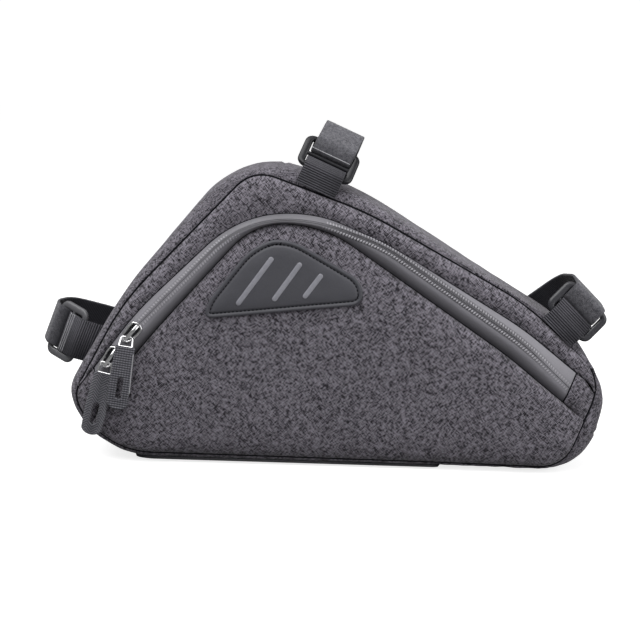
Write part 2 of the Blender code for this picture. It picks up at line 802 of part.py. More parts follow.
def build_pull_tab(row, bar, hang, beside, bar_y, webbing):
    # Side view: a flat tab whose top is an eye round the link's lower wire
    hole = LINK_WIRE + CLEARANCE
    ring = hole + 0.0008
    neck_low = ring + 0.0014
    half_wall = PULL_WALL / 2

    def neck_world(drop, forward, across):
        flat = bar + hang * drop + beside * across
        return Vector((flat.x, bar_y - forward, flat.y))

    def flat_world(across, drop, forward):
        return neck_world(drop, forward, across)

    steps = 10
    eye_points = [Vector((neck_low, half_wall)), Vector((neck_low, -half_wall))]
    open_angle = math.asin(half_wall / ring)
    for step in range(steps + 1):
        angle = -open_angle - (2 * math.pi - 2 * open_angle) * step / steps
        eye_points.append(Vector((ring * math.cos(angle), ring * math.sin(angle))))
    neck = prism("neck", eye_points, neck_world, -PULL_NECK / 2, PULL_NECK / 2, webbing)
    turns = [2 * math.pi * step / 10 for step in range(10)]
    hole_points = [Vector((hole * math.cos(turn), hole * math.sin(turn))) for turn in turns]
    cut_solid(neck, prism("bore", hole_points, neck_world, -PULL_NECK, PULL_NECK, webbing))

    half = PULL_WIDTH / 2
    top = LINK_WIRE + CLEARANCE
    low = PULL_LENGTH
    outline = [Vector((-PULL_TOP_WIDTH / 2, top)), Vector((-half, 0.6 * low)), Vector((-half, low - 0.8 * half))]
    for step in range(1, 8):
        angle = math.pi - math.pi * step / 8
        outline.append(Vector((half * math.cos(angle), low - 0.8 * half + 0.8 * half * math.sin(angle))))
    outline += [Vector((half, low - 0.8 * half)), Vector((half, 0.6 * low)), Vector((PULL_TOP_WIDTH / 2, top))]
    tab = prism("pull_tab_" + row.name, outline, flat_world, -half_wall * 0.98, half_wall * 0.98, webbing)
    slot_low = Vector((0, low - 1.3 * half))
    slot_top = slot_low - Vector((0, SLOT_LENGTH - SLOT_WIDTH))
    slot = slot_outline(slot_top, slot_low, SLOT_WIDTH / 2)
    cut_solid(tab, prism("slot", slot, flat_world, -PULL_WALL, PULL_WALL, webbing))
    room = [Vector(p) for p in ((-PULL_NECK / 2 - 0.0003, -ring), (PULL_NECK / 2 + 0.0003, -ring),
                                (PULL_NECK / 2 + 0.0003, neck_low - 0.0006), (-PULL_NECK / 2 - 0.0003, neck_low - 0.0006))]
    cut_solid(tab, prism("room", room, flat_world, -PULL_WALL, PULL_WALL, webbing))
    join_solids(tab, neck)


# Strap loops

def ribbon(name, path, wall, world, leans, settle, material):
    # A flat strap: its side view follows the path and it leans sideways between two amounts along its length.
    # settle holds where its sewn end is, 0 or 1, and how much that end turns to lie flat on the bag.
    line = Line(path)
    left = shifted(path, -wall / 2)
    right = shifted(path, wall / 2)
    sewn, slope = settle
    outer = []
    inner = []
    for index in range(len(path)):
        share = line.marks[index] / line.length()
        lean = leans[0] + (leans[1] - leans[0]) * share
        turned = slope * max(0.0, 1 - abs(share - sewn) / 0.35)
        row_outer = []
        row_inner = []
        for edge in (-0.5, 0.5):
            sideways = lean + edge * STRAP_WIDTH
            lift = Vector((0, -turned * sideways))
            row_outer.append(world(left[index] + lift, sideways))
            row_inner.append(world(right[index] + lift, sideways))
        outer.append(row_outer)
        inner.append(row_inner)
    return shell(name, outer, inner, material)


def build_ring(name, world, place, tilt, plastic):
    # A three-bar slide: a rounded frame with a middle bar
    across = Vector((math.sin(tilt), math.cos(tilt)))
    span = RING_ACROSS - 2 * RING_BAR
    half = RING_LENGTH / 2 - RING_BAR
    corners = [(Vector((-half, 0)), RING_CORNER, 4), (Vector((-half, span)), RING_CORNER, 4),
               (Vector((half, span)), RING_CORNER, 4), (Vector((half, 0)), RING_CORNER, 4)]
    path = [world(place + across * p.y, p.x) for p in rounded_path(corners, closed=True)]
    frame = tube(name, path, RING_BAR, 8, plastic)
    bar_radius = 0.7 * RING_BAR
    ends = (world(place + across * span / 2, -half), world(place + across * span / 2, half))
    bar = straight_bar("bar", ends[0], ends[1], bar_radius, 8, plastic)
    join_solids(frame, bar)
    return frame


def straight_bar(name, start, end, radius, sides, material):
    way = (end - start).normalized()
    side = way.cross(Vector((0, 1, 0))).normalized()
    other = way.cross(side)
    vertices = []
    for point in (start, end):
        for step in range(sides):
            angle = 2 * math.pi * step / sides
            vertices.append(point + (side * math.cos(angle) + other * math.sin(angle)) * radius)
    faces = [tuple(range(sides)), tuple(range(2 * sides - 1, sides - 1, -1))]
    for step in range(sides):
        after = (step + 1) % sides
        faces.append((step, after, sides + after, sides + step))
    return make_object(name, vertices, faces, material)


def build_strap_loop(row, outline, webbing, plastic, strap):
    share = outline.nearest(body_point(row))
    way = outline.direction(share)
    place = outline.at(share) + way * row.slide
    turn = math.radians(row.turn)
    across = Vector((way.x * math.cos(turn) - way.y * math.sin(turn), way.x * math.sin(turn) + way.y * math.cos(turn)))
    outward = Vector((-across.y, across.x))
    slope = math.tan(turn)

    def world(point, sideways):
        # point is (depth, outward) in metres
        flat = place + outward * point.y + across * sideways
        return Vector((flat.x, point.x, flat.y))

    tilt = math.radians(row.tilt)
    up = Vector((math.sin(tilt), math.cos(tilt)))
    front = Vector((-math.cos(tilt), math.sin(tilt)))
    near_bar = Vector((row.ring_y * HALF_DEPTH, row.ring_n))
    far_bar = near_bar + up * (RING_ACROSS - 2 * RING_BAR)
    build_ring(row.name + "_ring", world, near_bar, tilt, plastic)

    wrap = RING_BAR + CLEARANCE + TAB_WALL / 2
    root = Vector((row.root_y * HALF_DEPTH, row.root_n))
    start = touch_angle(near_bar, wrap, root, arriving=True)
    end = start - math.radians(205)
    tab_path = [root] + arc(near_bar, wrap, start, end, 9)
    tab_path.append(tab_path[-1] + along_arc(end) * 0.0035)
    ribbon(row.name + "_tab", tab_path, TAB_WALL, world, (0.0, 0.0), (0, slope), webbing)

    wrap = RING_BAR + CLEARANCE + STRAP_WALL / 2
    fold = Vector((row.fold_y * HALF_DEPTH, row.fold_n))
    back = Vector((row.back_y * HALF_DEPTH, row.back_n))
    root = Vector((HALF_DEPTH + STRAP_WALL / 2 + CLEARANCE, row.seam_n))
    end = touch_angle(far_bar, wrap, fold, arriving=False)
    turn_round = arc(far_bar, wrap, end + math.pi, end, 8)
    inner_end = turn_round[0] - along_arc(end + math.pi) * 0.0060
    outer = rounded_path([(turn_round[-1], 0, 0), (fold, 0.0035, 4), (back, 0.0080, 5), (root, 0, 0)], closed=False)
    strap_path = [inner_end] + turn_round + outer[1:]
    ribbon(row.name + "_strap", strap_path, STRAP_WALL, world, (0.0, row.lean), (1, slope), strap)


def touch_angle(centre, radius, point, arriving):
    # Where a straight line from or to the point touches the circle that is followed clockwise
    offset = point - centre
    spread = math.acos(radius / offset.length)
    angle = math.atan2(offset.y, offset.x)
    return angle - spread if arriving else angle + spread


def along_arc(angle):
    return Vector((math.sin(angle), -math.cos(angle)))


def arc(centre, radius, start, end, steps):
    angles = [start + (end - start) * step / steps for step in range(steps + 1)]
    return [centre + Vector((math.cos(angle), math.sin(angle))) * radius for angle in angles]


def build():
    clear_scene()
    cloth = make_material("heather_cloth", (0.093, 0.089, 0.102), 0.92)
    gusset_cloth = make_material("heather_gusset", (0.108, 0.104, 0.118), 0.92)
    coated = make_material("coated_patch", (0.062, 0.064, 0.072), 0.55)
    base_cloth = make_material("base_coating", (0.016, 0.016, 0.020), 0.60)
    tape = make_material("coated_tape", (0.130, 0.130, 0.140), 0.50)
    reflective = make_material("reflective_grey", (0.165, 0.165, 0.190), 0.45)
    chrome = make_material("chrome", (0.780, 0.780, 0.790), 0.15, 1.0)
    woven = make_material("woven_pull", (0.048, 0.048, 0.055), 0.80)
    webbing = make_material("ribbed_webbing", (0.036, 0.035, 0.043), 0.85)
    plastic = make_material("black_plastic", (0.040, 0.040, 0.045), 0.35)
    strap = make_material("napped_strap", (0.140, 0.138, 0.155), 0.95)

    build_gusset(gusset_cloth)
    build_base(base_cloth)
    seam, marks, rails = front_lines()
    panel = build_front(cloth, tape, seam, marks, rails)
    build_zip_ends(cloth, seam, marks, rails)
    build_back(cloth, seam, marks)
    build_patch(coated, reflective, panel)
    for row in SLIDERS:
        build_slider(row, rails, chrome, woven)
    outline = Line(rounded_path(loop_corners("outline"), closed=True), closed=True)
    for row in STRAP_LOOPS:
        build_strap_loop(row, outline, webbing, plastic, strap)


build()
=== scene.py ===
import math

import bmesh
import bpy
import numpy as np
from mathutils import Matrix, Vector, noise
from mathutils.bvhtree import BVHTree
from mathutils.geometry import delaunay_2d_cdt

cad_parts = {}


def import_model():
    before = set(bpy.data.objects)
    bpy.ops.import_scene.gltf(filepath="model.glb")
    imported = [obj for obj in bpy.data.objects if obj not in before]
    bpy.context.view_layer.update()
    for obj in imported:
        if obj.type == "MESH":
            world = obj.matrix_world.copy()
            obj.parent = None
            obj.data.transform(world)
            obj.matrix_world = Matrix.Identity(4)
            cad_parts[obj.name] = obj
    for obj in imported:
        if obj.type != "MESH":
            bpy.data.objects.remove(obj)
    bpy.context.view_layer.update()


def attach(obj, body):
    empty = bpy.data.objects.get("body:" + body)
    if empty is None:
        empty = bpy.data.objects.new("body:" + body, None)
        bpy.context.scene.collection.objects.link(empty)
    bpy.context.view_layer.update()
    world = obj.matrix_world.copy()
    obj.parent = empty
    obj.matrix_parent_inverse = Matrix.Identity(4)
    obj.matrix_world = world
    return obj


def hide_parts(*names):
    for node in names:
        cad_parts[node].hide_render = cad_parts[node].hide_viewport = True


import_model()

# The bag hangs in a triangle of tubes. Lengths are metres, +X is the long nose, the zip faces -Y.
body = {
    "length": 0.2865,
    "height": 0.1602,
    "underside": 0.0015,
    "halfDepth": 0.025,
    "seamRise": 0.0003,
    "bandRise": 0.0042,
    "ridgeRise": 0.0060,
    "domeRise": 0.0075,
    "backDome": 0.0045,
    "endFade": 0.10,
    "clearance": 0.0003,
    "seamGap": 0.00035,     # how far the panels' folded edges stand back from the seam
    "step": 0.0024,         # length of one mesh step along the bag
}

# outline x, z, reach, then seam x, z, reach. x is a share of the length, z and reach of the height
loopCorners = {
    "leftNose": (-0.509, 0.236, 0.044, -0.497, 0.214, 0.050),
    "leftBend": (-0.409, 0.560, 0.130, -0.406, 0.533, 0.125),
    "apex": (-0.183, 1.060, 0.252, -0.167, 0.991, 0.084),
    "rightBend": (0.042, 0.907, 0.130, 0.045, 0.858, 0.100),
    "noseTop": (0.440, 0.475, 0.100, 0.341, 0.574, 0.100),
    "noseMid": (0.511, 0.256, 0.078, 0.499, 0.327, 0.113),
    "noseLow": (0.478, 0.000, 0.160, 0.432, 0.010, 0.090),
    "baseMid": (0.199, 0.000, 0.060, 0.199, 0.016, 0.060),
    "leftBase": (-0.393, 0.000, 0.094, -0.390, 0.023, 0.075),
    "leftLow": (-0.487, 0.106, 0.092, -0.465, 0.105, 0.074),
}

# lines of the zip: x share, z share, reach
zipLines = {
    "band": ((-0.376, 0.512, 0.089), (-0.177, 0.863, 0.187), (-0.035, 0.843, 0.060), (0.084, 0.758, 0.089),
             (0.340, 0.490, 0.074), (0.471, 0.308, 0.030)),
    "slit": ((-0.426, 0.353, 0.059), (-0.373, 0.466, 0.069), (-0.179, 0.832, 0.163), (-0.042, 0.824, 0.078),
             (0.077, 0.750, 0.074), (0.342, 0.439, 0.074)),
    "lip": ((-0.411, 0.289, 0.059), (-0.339, 0.451, 0.074), (-0.156, 0.824, 0.123), (-0.027, 0.800, 0.099),
            (0.314, 0.392, 0.059), (0.426, 0.233, 0.025)),
}
seamMarks = {
    "leftTop": (-0.489, 0.240),
    "leftBottom": (-0.459, 0.118),
    "rightTop": (0.486, 0.271),
    "rightBottom": (0.469, 0.174),
}
zipEnds = (0.036, 0.962)    # shares of the zip's length where its tape starts and ends


# Lines and paths

def bodyPoint(x, z):
    return Vector((x * body["length"], body["underside"] + z * body["height"]))


def cornerCurve(start, corner, end, steps):
    curve = []
    for step in range(steps + 1):
        share = step / steps
        curve.append(start * (1 - share) ** 2 + corner * 2 * share * (1 - share) + end * share ** 2)
    return curve


def roundedPath(corners, closed=False):
    # a corner is (point, reach, steps) and becomes a curve that starts and ends at its reach
    points = []
    count = len(corners)
    for index, (corner, reach, steps) in enumerate(corners):
        if not closed and index in (0, count - 1):
            points.append(corner.copy())
            continue
        start = corner + (corners[index - 1][0] - corner).normalized() * reach
        end = corner + (corners[(index + 1) % count][0] - corner).normalized() * reach
        points += cornerCurve(start, corner, end, steps)
    return points


def easedPath(points, steps, firmness=0.45):
    # every inner point becomes a soft corner
    corners = []
    for index, point in enumerate(points):
        if index in (0, len(points) - 1):
            corners.append((point, 0, steps))
            continue
        reach = firmness * min((points[index - 1] - point).length, (points[index + 1] - point).length)
        corners.append((point, reach, steps))
    return roundedPath(corners)


class Line:
    # a line through points, read by the share of its length
    def __init__(self, points, closed=False):
        self.closed = closed
        self.points = list(points) + ([points[0]] if closed else [])
        self.marks = [0.0]
        for first, second in zip(self.points, self.points[1:]):
            self.marks.append(self.marks[-1] + (second - first).length)

    def length(self):
        return self.marks[-1]

    def at(self, share):
        wanted = share * self.length()
        if self.closed:
            wanted %= self.length()
        wanted = min(max(wanted, 0.0), self.length())
        low, high = 0, len(self.marks) - 2
        while low < high:
            middle = (low + high) // 2
            if wanted <= self.marks[middle + 1]:
                high = middle
            else:
                low = middle + 1
        span = self.marks[low + 1] - self.marks[low]
        return self.points[low].lerp(self.points[low + 1], (wanted - self.marks[low]) / span if span else 0.0)

    def nearest(self, point):
        best = (math.inf, 0.0)
        for index in range(len(self.marks) - 1):
            first = self.points[index]
            along = self.points[index + 1] - first
            if along.length == 0:
                continue
            part = min(max((point - first).dot(along) / along.length_squared, 0.0), 1.0)
            share = (self.marks[index] + along.length * part) / self.length()
            best = min(best, ((first + along * part - point).length, share))
        return best[1]

    def evenly(self, steps):
        return [self.at(step / steps) for step in range(steps + 1)]

    def direction(self, share):
        return (self.at(share + 0.004) - self.at(share - 0.004)).normalized()


def sidesAlong(places, up, closed=True):
    # at every place the direction that lies across the line and across up
    sides = []
    count = len(places)
    for index in range(count):
        ahead = places[(index + 1) % count] if closed else places[min(index + 1, count - 1)]
        behind = places[index - 1] if closed else places[max(index - 1, 0)]
        sides.append((ahead - behind).normalized().cross(up).normalized())
    return sides


def shifted(points, distance):
    # the line moved to the right of its way
    moved = []
    for index, point in enumerate(points):
        way = points[min(index + 1, len(points) - 1)] - points[max(index - 1, 0)]
        if way.length > 0:
            way.normalize()
        moved.append(point + Vector((way.y, -way.x)) * distance)
    return moved


# Meshes

def newObject(name, vertices, faces, material, uvs=None):
    mesh = bpy.data.meshes.new(name)
    mesh.from_pydata([tuple(vertex) for vertex in vertices], [], [tuple(face) for face in faces])
    if uvs is not None:
        layer = mesh.uv_layers.new(name="UVMap")
        layer.data.foreach_set("uv", np.asarray(uvs, dtype=np.float32).ravel())
    mesh.materials.append(material)
    mesh.shade_smooth()
    mesh.update()
    thing = bpy.data.objects.new(name, mesh)
    bpy.context.scene.collection.objects.link(thing)
    return thing


def clothShell(name, grid, wall, facing, material, uv, loop=False):
    # a cloth wall under a grid of points, closed at its edges. facing says which side is the outside.
    grid = np.asarray(grid, dtype=float)
    uv = np.asarray(uv, dtype=float)
    rows, columns = grid.shape[:2]
    if loop:
        along = np.roll(grid, -1, 0) - np.roll(grid, 1, 0)
    else:
        along = np.gradient(grid, axis=0)
    normal = np.cross(along, np.gradient(grid, axis=1))
    normal /= np.linalg.norm(normal, axis=2, keepdims=True) + 1e-12
    flip = (normal * facing).sum() < 0
    if flip:
        normal = -normal
    count = rows * columns
    vertices = np.concatenate([grid.reshape(-1, 3), (grid - normal * wall).reshape(-1, 3)])
    index = np.arange(count).reshape(rows, columns)
    first, second = (index, np.roll(index, -1, 0)) if loop else (index[:-1], index[1:])
    uvFirst, uvSecond = (uv, np.roll(uv, -1, 0)) if loop else (uv[:-1], uv[1:])
    if loop:
        uvSecond[-1, :, 0] += uv[-1, 0, 0] + np.linalg.norm(grid[0] - grid[-1], axis=1).mean()
    outer = np.stack([first[:, :-1], second[:, :-1], second[:, 1:], first[:, 1:]], -1).reshape(-1, 4)
    outerUv = np.stack([uvFirst[:, :-1], uvSecond[:, :-1], uvSecond[:, 1:], uvFirst[:, 1:]], 2)
    outerUv = outerUv.reshape(-1, 4, 2)
    if flip:
        outer, outerUv = outer[:, ::-1], outerUv[:, ::-1]
    starts, ends = outer.ravel(), np.roll(outer, -1, 1).ravel()
    startUv, endUv = outerUv.reshape(-1, 2), np.roll(outerUv, -1, 1).reshape(-1, 2)
    rim = ~np.isin(starts * count + ends, ends * count + starts)
    side = np.stack([ends[rim], starts[rim], starts[rim] + count, ends[rim] + count], -1)
    sideUv = np.stack([endUv[rim], startUv[rim], startUv[rim], endUv[rim]], 1)
    faces = np.concatenate([outer, outer[:, ::-1] + count, side])
    uvs = np.concatenate([outerUv, outerUv[:, ::-1], sideUv])
    return newObject(name, vertices.tolist(), faces.tolist(), material, uvs)


def metreUv(grid):
    # distance along the rows and across them, in metres
    grid = np.asarray(grid, dtype=float)
    along = np.linalg.norm(np.diff(grid, axis=0), axis=2).mean(axis=1)
    across = np.linalg.norm(np.diff(grid, axis=1), axis=2)
    middle = grid.shape[1] // 2
    u = np.concatenate([[0], np.cumsum(along)])[:, None] + np.zeros(grid.shape[:2])
    v = np.concatenate([np.zeros((len(grid), 1)), np.cumsum(across, axis=1)], axis=1)
    v -= v[:, middle:middle + 1]
    return np.stack([u, v], -1)


def sweep(name, centres, sides, ups, section, material, closed=False, scales=None):
    # a section of (side, up) points carried along a path. Its UV map holds distances.
    centres, sides, ups = (np.asarray([tuple(v) for v in values], dtype=float)
                           for values in (centres, sides, ups))
    section = np.asarray(section, dtype=float)
    count, around = len(centres), len(section)
    size = np.ones((count, 2)) if scales is None else np.asarray(scales, dtype=float)
    grid = (centres[:, None] + sides[:, None] * (section[None, :, :1] * size[:, None, :1])
            + ups[:, None] * (section[None, :, 1:] * size[:, None, 1:]))
    lengths = np.linalg.norm(np.diff(centres, axis=0), axis=1)
    u = np.concatenate([[0], np.cumsum(lengths)])
    edge = np.linalg.norm(np.roll(section, -1, 0) - section, axis=1)
    v = np.concatenate([[0], np.cumsum(edge)])
    faces, uvs = [], []
    total = count if closed else count - 1
    for row in range(total):
        after = (row + 1) % count
        uAfter = u[row] + np.linalg.norm(centres[after] - centres[row])
        for step in range(around):
            beside = (step + 1) % around
            here, there = row * around, after * around
            faces.append((here + step, here + beside, there + beside, there + step))
            uvs += [(u[row], v[step]), (u[row], v[step + 1]), (uAfter, v[step + 1]), (uAfter, v[step])]
    if not closed:
        faces.append(tuple(reversed(range(around))))
        faces.append(tuple(range((count - 1) * around, count * around)))
        uvs += [(0, v[step]) for step in reversed(range(around))]
        uvs += [(u[-1], v[step]) for step in range(around)]
    thing = newObject(name, grid.reshape(-1, 3).tolist(), faces, material, uvs)
    if signedVolume(thing.data) < 0:
        thing.data.flip_normals()
    return thing


def signedVolume(mesh):
    shape = bmesh.new()
    shape.from_mesh(mesh)
    volume = shape.calc_volume(signed=True)
    shape.free()
    return volume


def ovalSection(halfSide, halfUp, steps, squareness=1.0):
    points = []
    for step in range(steps):
        angle = 2 * math.pi * (step + 0.5) / steps
        c, s = math.cos(angle), math.sin(angle)
        points.append((halfSide * math.copysign(abs(c) ** squareness, c),
                       halfUp * math.copysign(abs(s) ** squareness, s)))
    return points


def joinMeshes(main, others):
    bpy.ops.object.select_all(action="DESELECT")
    for thing in [main] + list(others):
        thing.select_set(True)
    bpy.context.view_layer.objects.active = main
    bpy.ops.object.join()
    return main


def bakeModifiers(thing):
    bpy.context.view_layer.update()
    graph = bpy.context.evaluated_depsgraph_get()
    mesh = bpy.data.meshes.new_from_object(thing.evaluated_get(graph))
    thing.modifiers.clear()
    thing.data = mesh
    return thing


def surfaceFinder(pieces):
    # returns the front of the pieces above a place in the XZ plane, and its normal
    vertices, faces = [], []
    for piece in pieces:
        base = len(vertices)
        vertices += [vertex.co.copy() for vertex in piece.data.vertices]
        faces += [tuple(index + base for index in polygon.vertices) for polygon in piece.data.polygons]
    tree = BVHTree.FromPolygons(vertices, faces)

    def find(x, z):
        place, normal, _, _ = tree.ray_cast(Vector((x, -0.1, z)), Vector((0, 1, 0)))
        if place is None:
            place, normal, _, _ = tree.find_nearest(Vector((x, -0.03, z)))
        return place, normal if normal.y < 0 else -normal

    return find


def markPoints(piece, name, values):
    piece.data.attributes.new(name, "FLOAT", "POINT").data.foreach_set("value", values)


def dress(piece, slotName, *nodes):
    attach(piece, "root")
    if nodes:
        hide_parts(*nodes)
    return piece


# Materials

def addNode(tree, kind, **settings):
    node = tree.nodes.new(kind)
    for key, value in settings.items():
        setattr(node, key, value)
    return node


def feed(tree, socket, value):
    if isinstance(value, bpy.types.NodeSocket):
        tree.links.new(value, socket)
    elif value is not None:
        socket.default_value = value


def feedAll(tree, sockets, values):
    for socket, value in zip(sockets, values):
        feed(tree, socket, value)


def opaque(value):
    # a colour of three numbers gets its alpha
    return (*value, 1.0) if isinstance(value, tuple) and len(value) == 3 else value


def calc(tree, operation, first, second=None, third=None, clamp=False):
    node = addNode(tree, "ShaderNodeMath", operation=operation, use_clamp=clamp)
    feedAll(tree, node.inputs, (first, second, third))
    return node.outputs[0]


def blendValues(tree, share, first, second):
    node = addNode(tree, "ShaderNodeMix", data_type="FLOAT")
    feedAll(tree, (node.inputs[0], node.inputs[2], node.inputs[3]), (share, first, second))
    return node.outputs[0]


def blendColours(tree, share, first, second):
    node = addNode(tree, "ShaderNodeMix", data_type="RGBA")
    feedAll(tree, (node.inputs[0], node.inputs[6], node.inputs[7]), (share, opaque(first), opaque(second)))
    return node.outputs[2]


def ramp(tree, value, low, high, toLow=0.0, toHigh=1.0):
    node = addNode(tree, "ShaderNodeMapRange")
    feedAll(tree, node.inputs, (value, low, high, toLow, toHigh))
    return node.outputs[0]


def flatPair(tree, x, y, z=0.0):
    node = addNode(tree, "ShaderNodeCombineXYZ")
    feedAll(tree, node.inputs, (x, y, z))
    return node.outputs[0]


def splitAxes(tree, vector):
    node = addNode(tree, "ShaderNodeSeparateXYZ")
    feed(tree, node.inputs[0], vector)
    return list(node.outputs)


def scaledBy(tree, vector, scale):
    node = addNode(tree, "ShaderNodeVectorMath", operation="SCALE")
    feed(tree, node.inputs[0], vector)
    feed(tree, node.inputs["Scale"], scale)
    return node.outputs[0]


def coordinates(tree, kind="Object"):
    return addNode(tree, "ShaderNodeTexCoord").outputs[kind]


def attributeValue(tree, name):
    return addNode(tree, "ShaderNodeAttribute", attribute_name=name).outputs["Fac"]


def aroundHalf(tree, value, share, middle):
    # a value about 0.5 becomes one about the middle, spread by the share
    return calc(tree, "MULTIPLY_ADD", calc(tree, "SUBTRACT", value, 0.5), share, middle)


def waves(tree, value, pitch):
    # one round ridge at every pitch
    return calc(tree, "ABSOLUTE", calc(tree, "SINE", calc(tree, "MULTIPLY", value, math.pi / pitch)))


def grain(tree, vector, scale, detail=2.0, roughness=0.5):
    node = addNode(tree, "ShaderNodeTexNoise")
    for label, value in (("Vector", vector), ("Scale", scale), ("Detail", detail), ("Roughness", roughness)):
        feed(tree, node.inputs[label], value)
    return node.outputs[0]


def newTree(name, kind, inputs, outputs):
    # returns the tree, what it is given by name, and the node that takes its results
    tree = bpy.data.node_groups.new(name, kind)
    for label, socketKind, value in inputs:
        socket = tree.interface.new_socket(name=label, in_out="INPUT", socket_type="NodeSocket" + socketKind)
        if value is not None:
            socket.default_value = value
    for label, socketKind in outputs:
        tree.interface.new_socket(name=label, in_out="OUTPUT", socket_type="NodeSocket" + socketKind)
    given = {socket.name: socket for socket in tree.nodes.new("NodeGroupInput").outputs}
    return tree, given, tree.nodes.new("NodeGroupOutput")


heather = {
    "dark": (0.022, 0.020, 0.025),
    "light": (0.268, 0.250, 0.290),
    "pitch": 0.00043,
    "turn": 0.785,
    "streak": 6.5,          # how many yarns long a streak is
    "contrast": 5.2,
    "cloud": 0.10,
    "topShare": 0.12,       # how much the yarn on top counts
    "bend": 0.25,
    "bendScale": 0.12,
}


def heatherGroup():
    # plain weave of mottled yarns, in metres: warp and weft take turns on top, each yarn with its own streaks
    tree, given, result = newTree("heatherWeave", "ShaderNodeTree", (
        ("Vector", "Vector", None), ("Pitch", "Float", 0.0008), ("Turn", "Float", 0.785),
        ("Streak", "Float", 3.0), ("Contrast", "Float", 3.0), ("Dark", "Color", None),
        ("Light", "Color", None), ("Cloud", "Float", 0.1)),
        (("Color", "Color"), ("Height", "Float"), ("Tone", "Float")))
    turn = addNode(tree, "ShaderNodeVectorRotate", rotation_type="Z_AXIS")
    feed(tree, turn.inputs["Vector"], given["Vector"])
    feed(tree, turn.inputs["Angle"], given["Turn"])
    scaled = scaledBy(tree, turn.outputs[0], calc(tree, "DIVIDE", 1.0, given["Pitch"]))
    bend = addNode(tree, "ShaderNodeTexNoise")
    feed(tree, bend.inputs["Vector"], scaled)
    feed(tree, bend.inputs["Scale"], heather["bendScale"])
    wobble = addNode(tree, "ShaderNodeVectorMath", operation="MULTIPLY_ADD")
    feedAll(tree, wobble.inputs, (bend.outputs["Color"], (heather["bend"], heather["bend"], 0.0), scaled))
    x, y = splitAxes(tree, wobble.outputs[0])[:2]
    column, row = calc(tree, "FLOOR", x), calc(tree, "FLOOR", y)
    halfSum = calc(tree, "MULTIPLY", calc(tree, "ADD", column, row), 0.5)
    parity = calc(tree, "MULTIPLY", calc(tree, "FRACT", halfSum), 2.0)
    # yarns stand far apart in the noise, so that no two are alike
    apart = 3.7
    streakX, streakY = (calc(tree, "DIVIDE", value, given["Streak"]) for value in (x, y))
    warp = grain(tree, flatPair(tree, calc(tree, "MULTIPLY", column, apart), streakY), 1.0, 1.0)
    weft = grain(tree, flatPair(tree, streakX, calc(tree, "MULTIPLY", row, apart), 9.0), 1.0, 1.0)
    # both sets of yarns tint a place, the one on top a little more
    both = calc(tree, "MULTIPLY", calc(tree, "ADD", warp, weft), 0.5)
    yarn = blendValues(tree, heather["topShare"], both, blendValues(tree, parity, warp, weft))
    cloud = aroundHalf(tree, grain(tree, given["Vector"], 55.0, 3.0), given["Cloud"], 0.0)
    tone = aroundHalf(tree, yarn, given["Contrast"], 0.5)
    tone = calc(tree, "ADD", tone, cloud, clamp=True)
    acrossWarp = calc(tree, "SINE", calc(tree, "MULTIPLY", calc(tree, "FRACT", x), math.pi))
    acrossWeft = calc(tree, "SINE", calc(tree, "MULTIPLY", calc(tree, "FRACT", y), math.pi))
    over = blendValues(tree, parity, acrossWarp, acrossWeft)
    along = blendValues(tree, parity, acrossWeft, acrossWarp)
    height = calc(tree, "MULTIPLY", over, calc(tree, "POWER", along, 0.5))
    feed(tree, result.inputs["Color"], blendColours(tree, tone, given["Dark"], given["Light"]))
    feed(tree, result.inputs["Height"], height)
    feed(tree, result.inputs["Tone"], tone)
    return tree


def fuzzGroup():
    # short nap: fine mottling and a soft uneven height
    tree, given, result = newTree("napFuzz", "ShaderNodeTree", (
        ("Vector", "Vector", None), ("Scale", "Float", 2200.0), ("Dark", "Color", None),
        ("Light", "Color", None)), (("Color", "Color"), ("Height", "Float")))
    fine = grain(tree, given["Vector"], given["Scale"], 3.0, 0.65)
    coarse = grain(tree, given["Vector"], calc(tree, "MULTIPLY", given["Scale"], 0.22), 2.0, 0.6)
    tone = calc(tree, "ADD", calc(tree, "MULTIPLY", fine, 0.65), calc(tree, "MULTIPLY", coarse, 0.35))
    feed(tree, result.inputs["Color"],
         blendColours(tree, ramp(tree, tone, 0.34, 0.66), given["Dark"], given["Light"]))
    feed(tree, result.inputs["Height"], tone)
    return tree


def skinGroup():
    # pebbled coating: faint grain and soft wear marks
    tree, given, result = newTree("coatedSkin", "ShaderNodeTree", (
        ("Vector", "Vector", None), ("Scale", "Float", 1600.0), ("Base", "Color", None),
        ("Mottle", "Float", 0.15), ("Rough", "Float", 0.5)),
        (("Color", "Color"), ("Height", "Float"), ("Roughness", "Float")))
    cells = addNode(tree, "ShaderNodeTexVoronoi", feature="SMOOTH_F1")
    feed(tree, cells.inputs["Vector"], given["Vector"])
    feed(tree, cells.inputs["Scale"], given["Scale"])
    broad = grain(tree, given["Vector"], 90.0, 4.0, 0.6)
    fine = grain(tree, given["Vector"], calc(tree, "MULTIPLY", given["Scale"], 0.6), 3.0, 0.6)
    share = aroundHalf(tree, fine, given["Mottle"], aroundHalf(tree, broad, given["Mottle"], 1.0))
    feed(tree, result.inputs["Color"], scaledBy(tree, given["Base"], share))
    height = calc(tree, "ADD", cells.outputs[0], calc(tree, "MULTIPLY", fine, 0.5))
    feed(tree, result.inputs["Height"], height)
    feed(tree, result.inputs["Roughness"], aroundHalf(tree, broad, 0.35, given["Rough"]))
    return tree


heatherWeave, napFuzz, coatedSkin = heatherGroup(), fuzzGroup(), skinGroup()


def newMaterial(name, **plain):
    material = bpy.data.materials.new(name)
    material.use_nodes = True
    shader = material.node_tree.nodes["Principled BSDF"]
    for label, value in plain.items():
        shader.inputs[label.replace("_", " ")].default_value = value
    return material, material.node_tree, shader


def useGroup(tree, group, **values):
    node = addNode(tree, "ShaderNodeGroup", node_tree=group)
    for label, value in values.items():
        feed(tree, node.inputs[label], opaque(value))
    return node


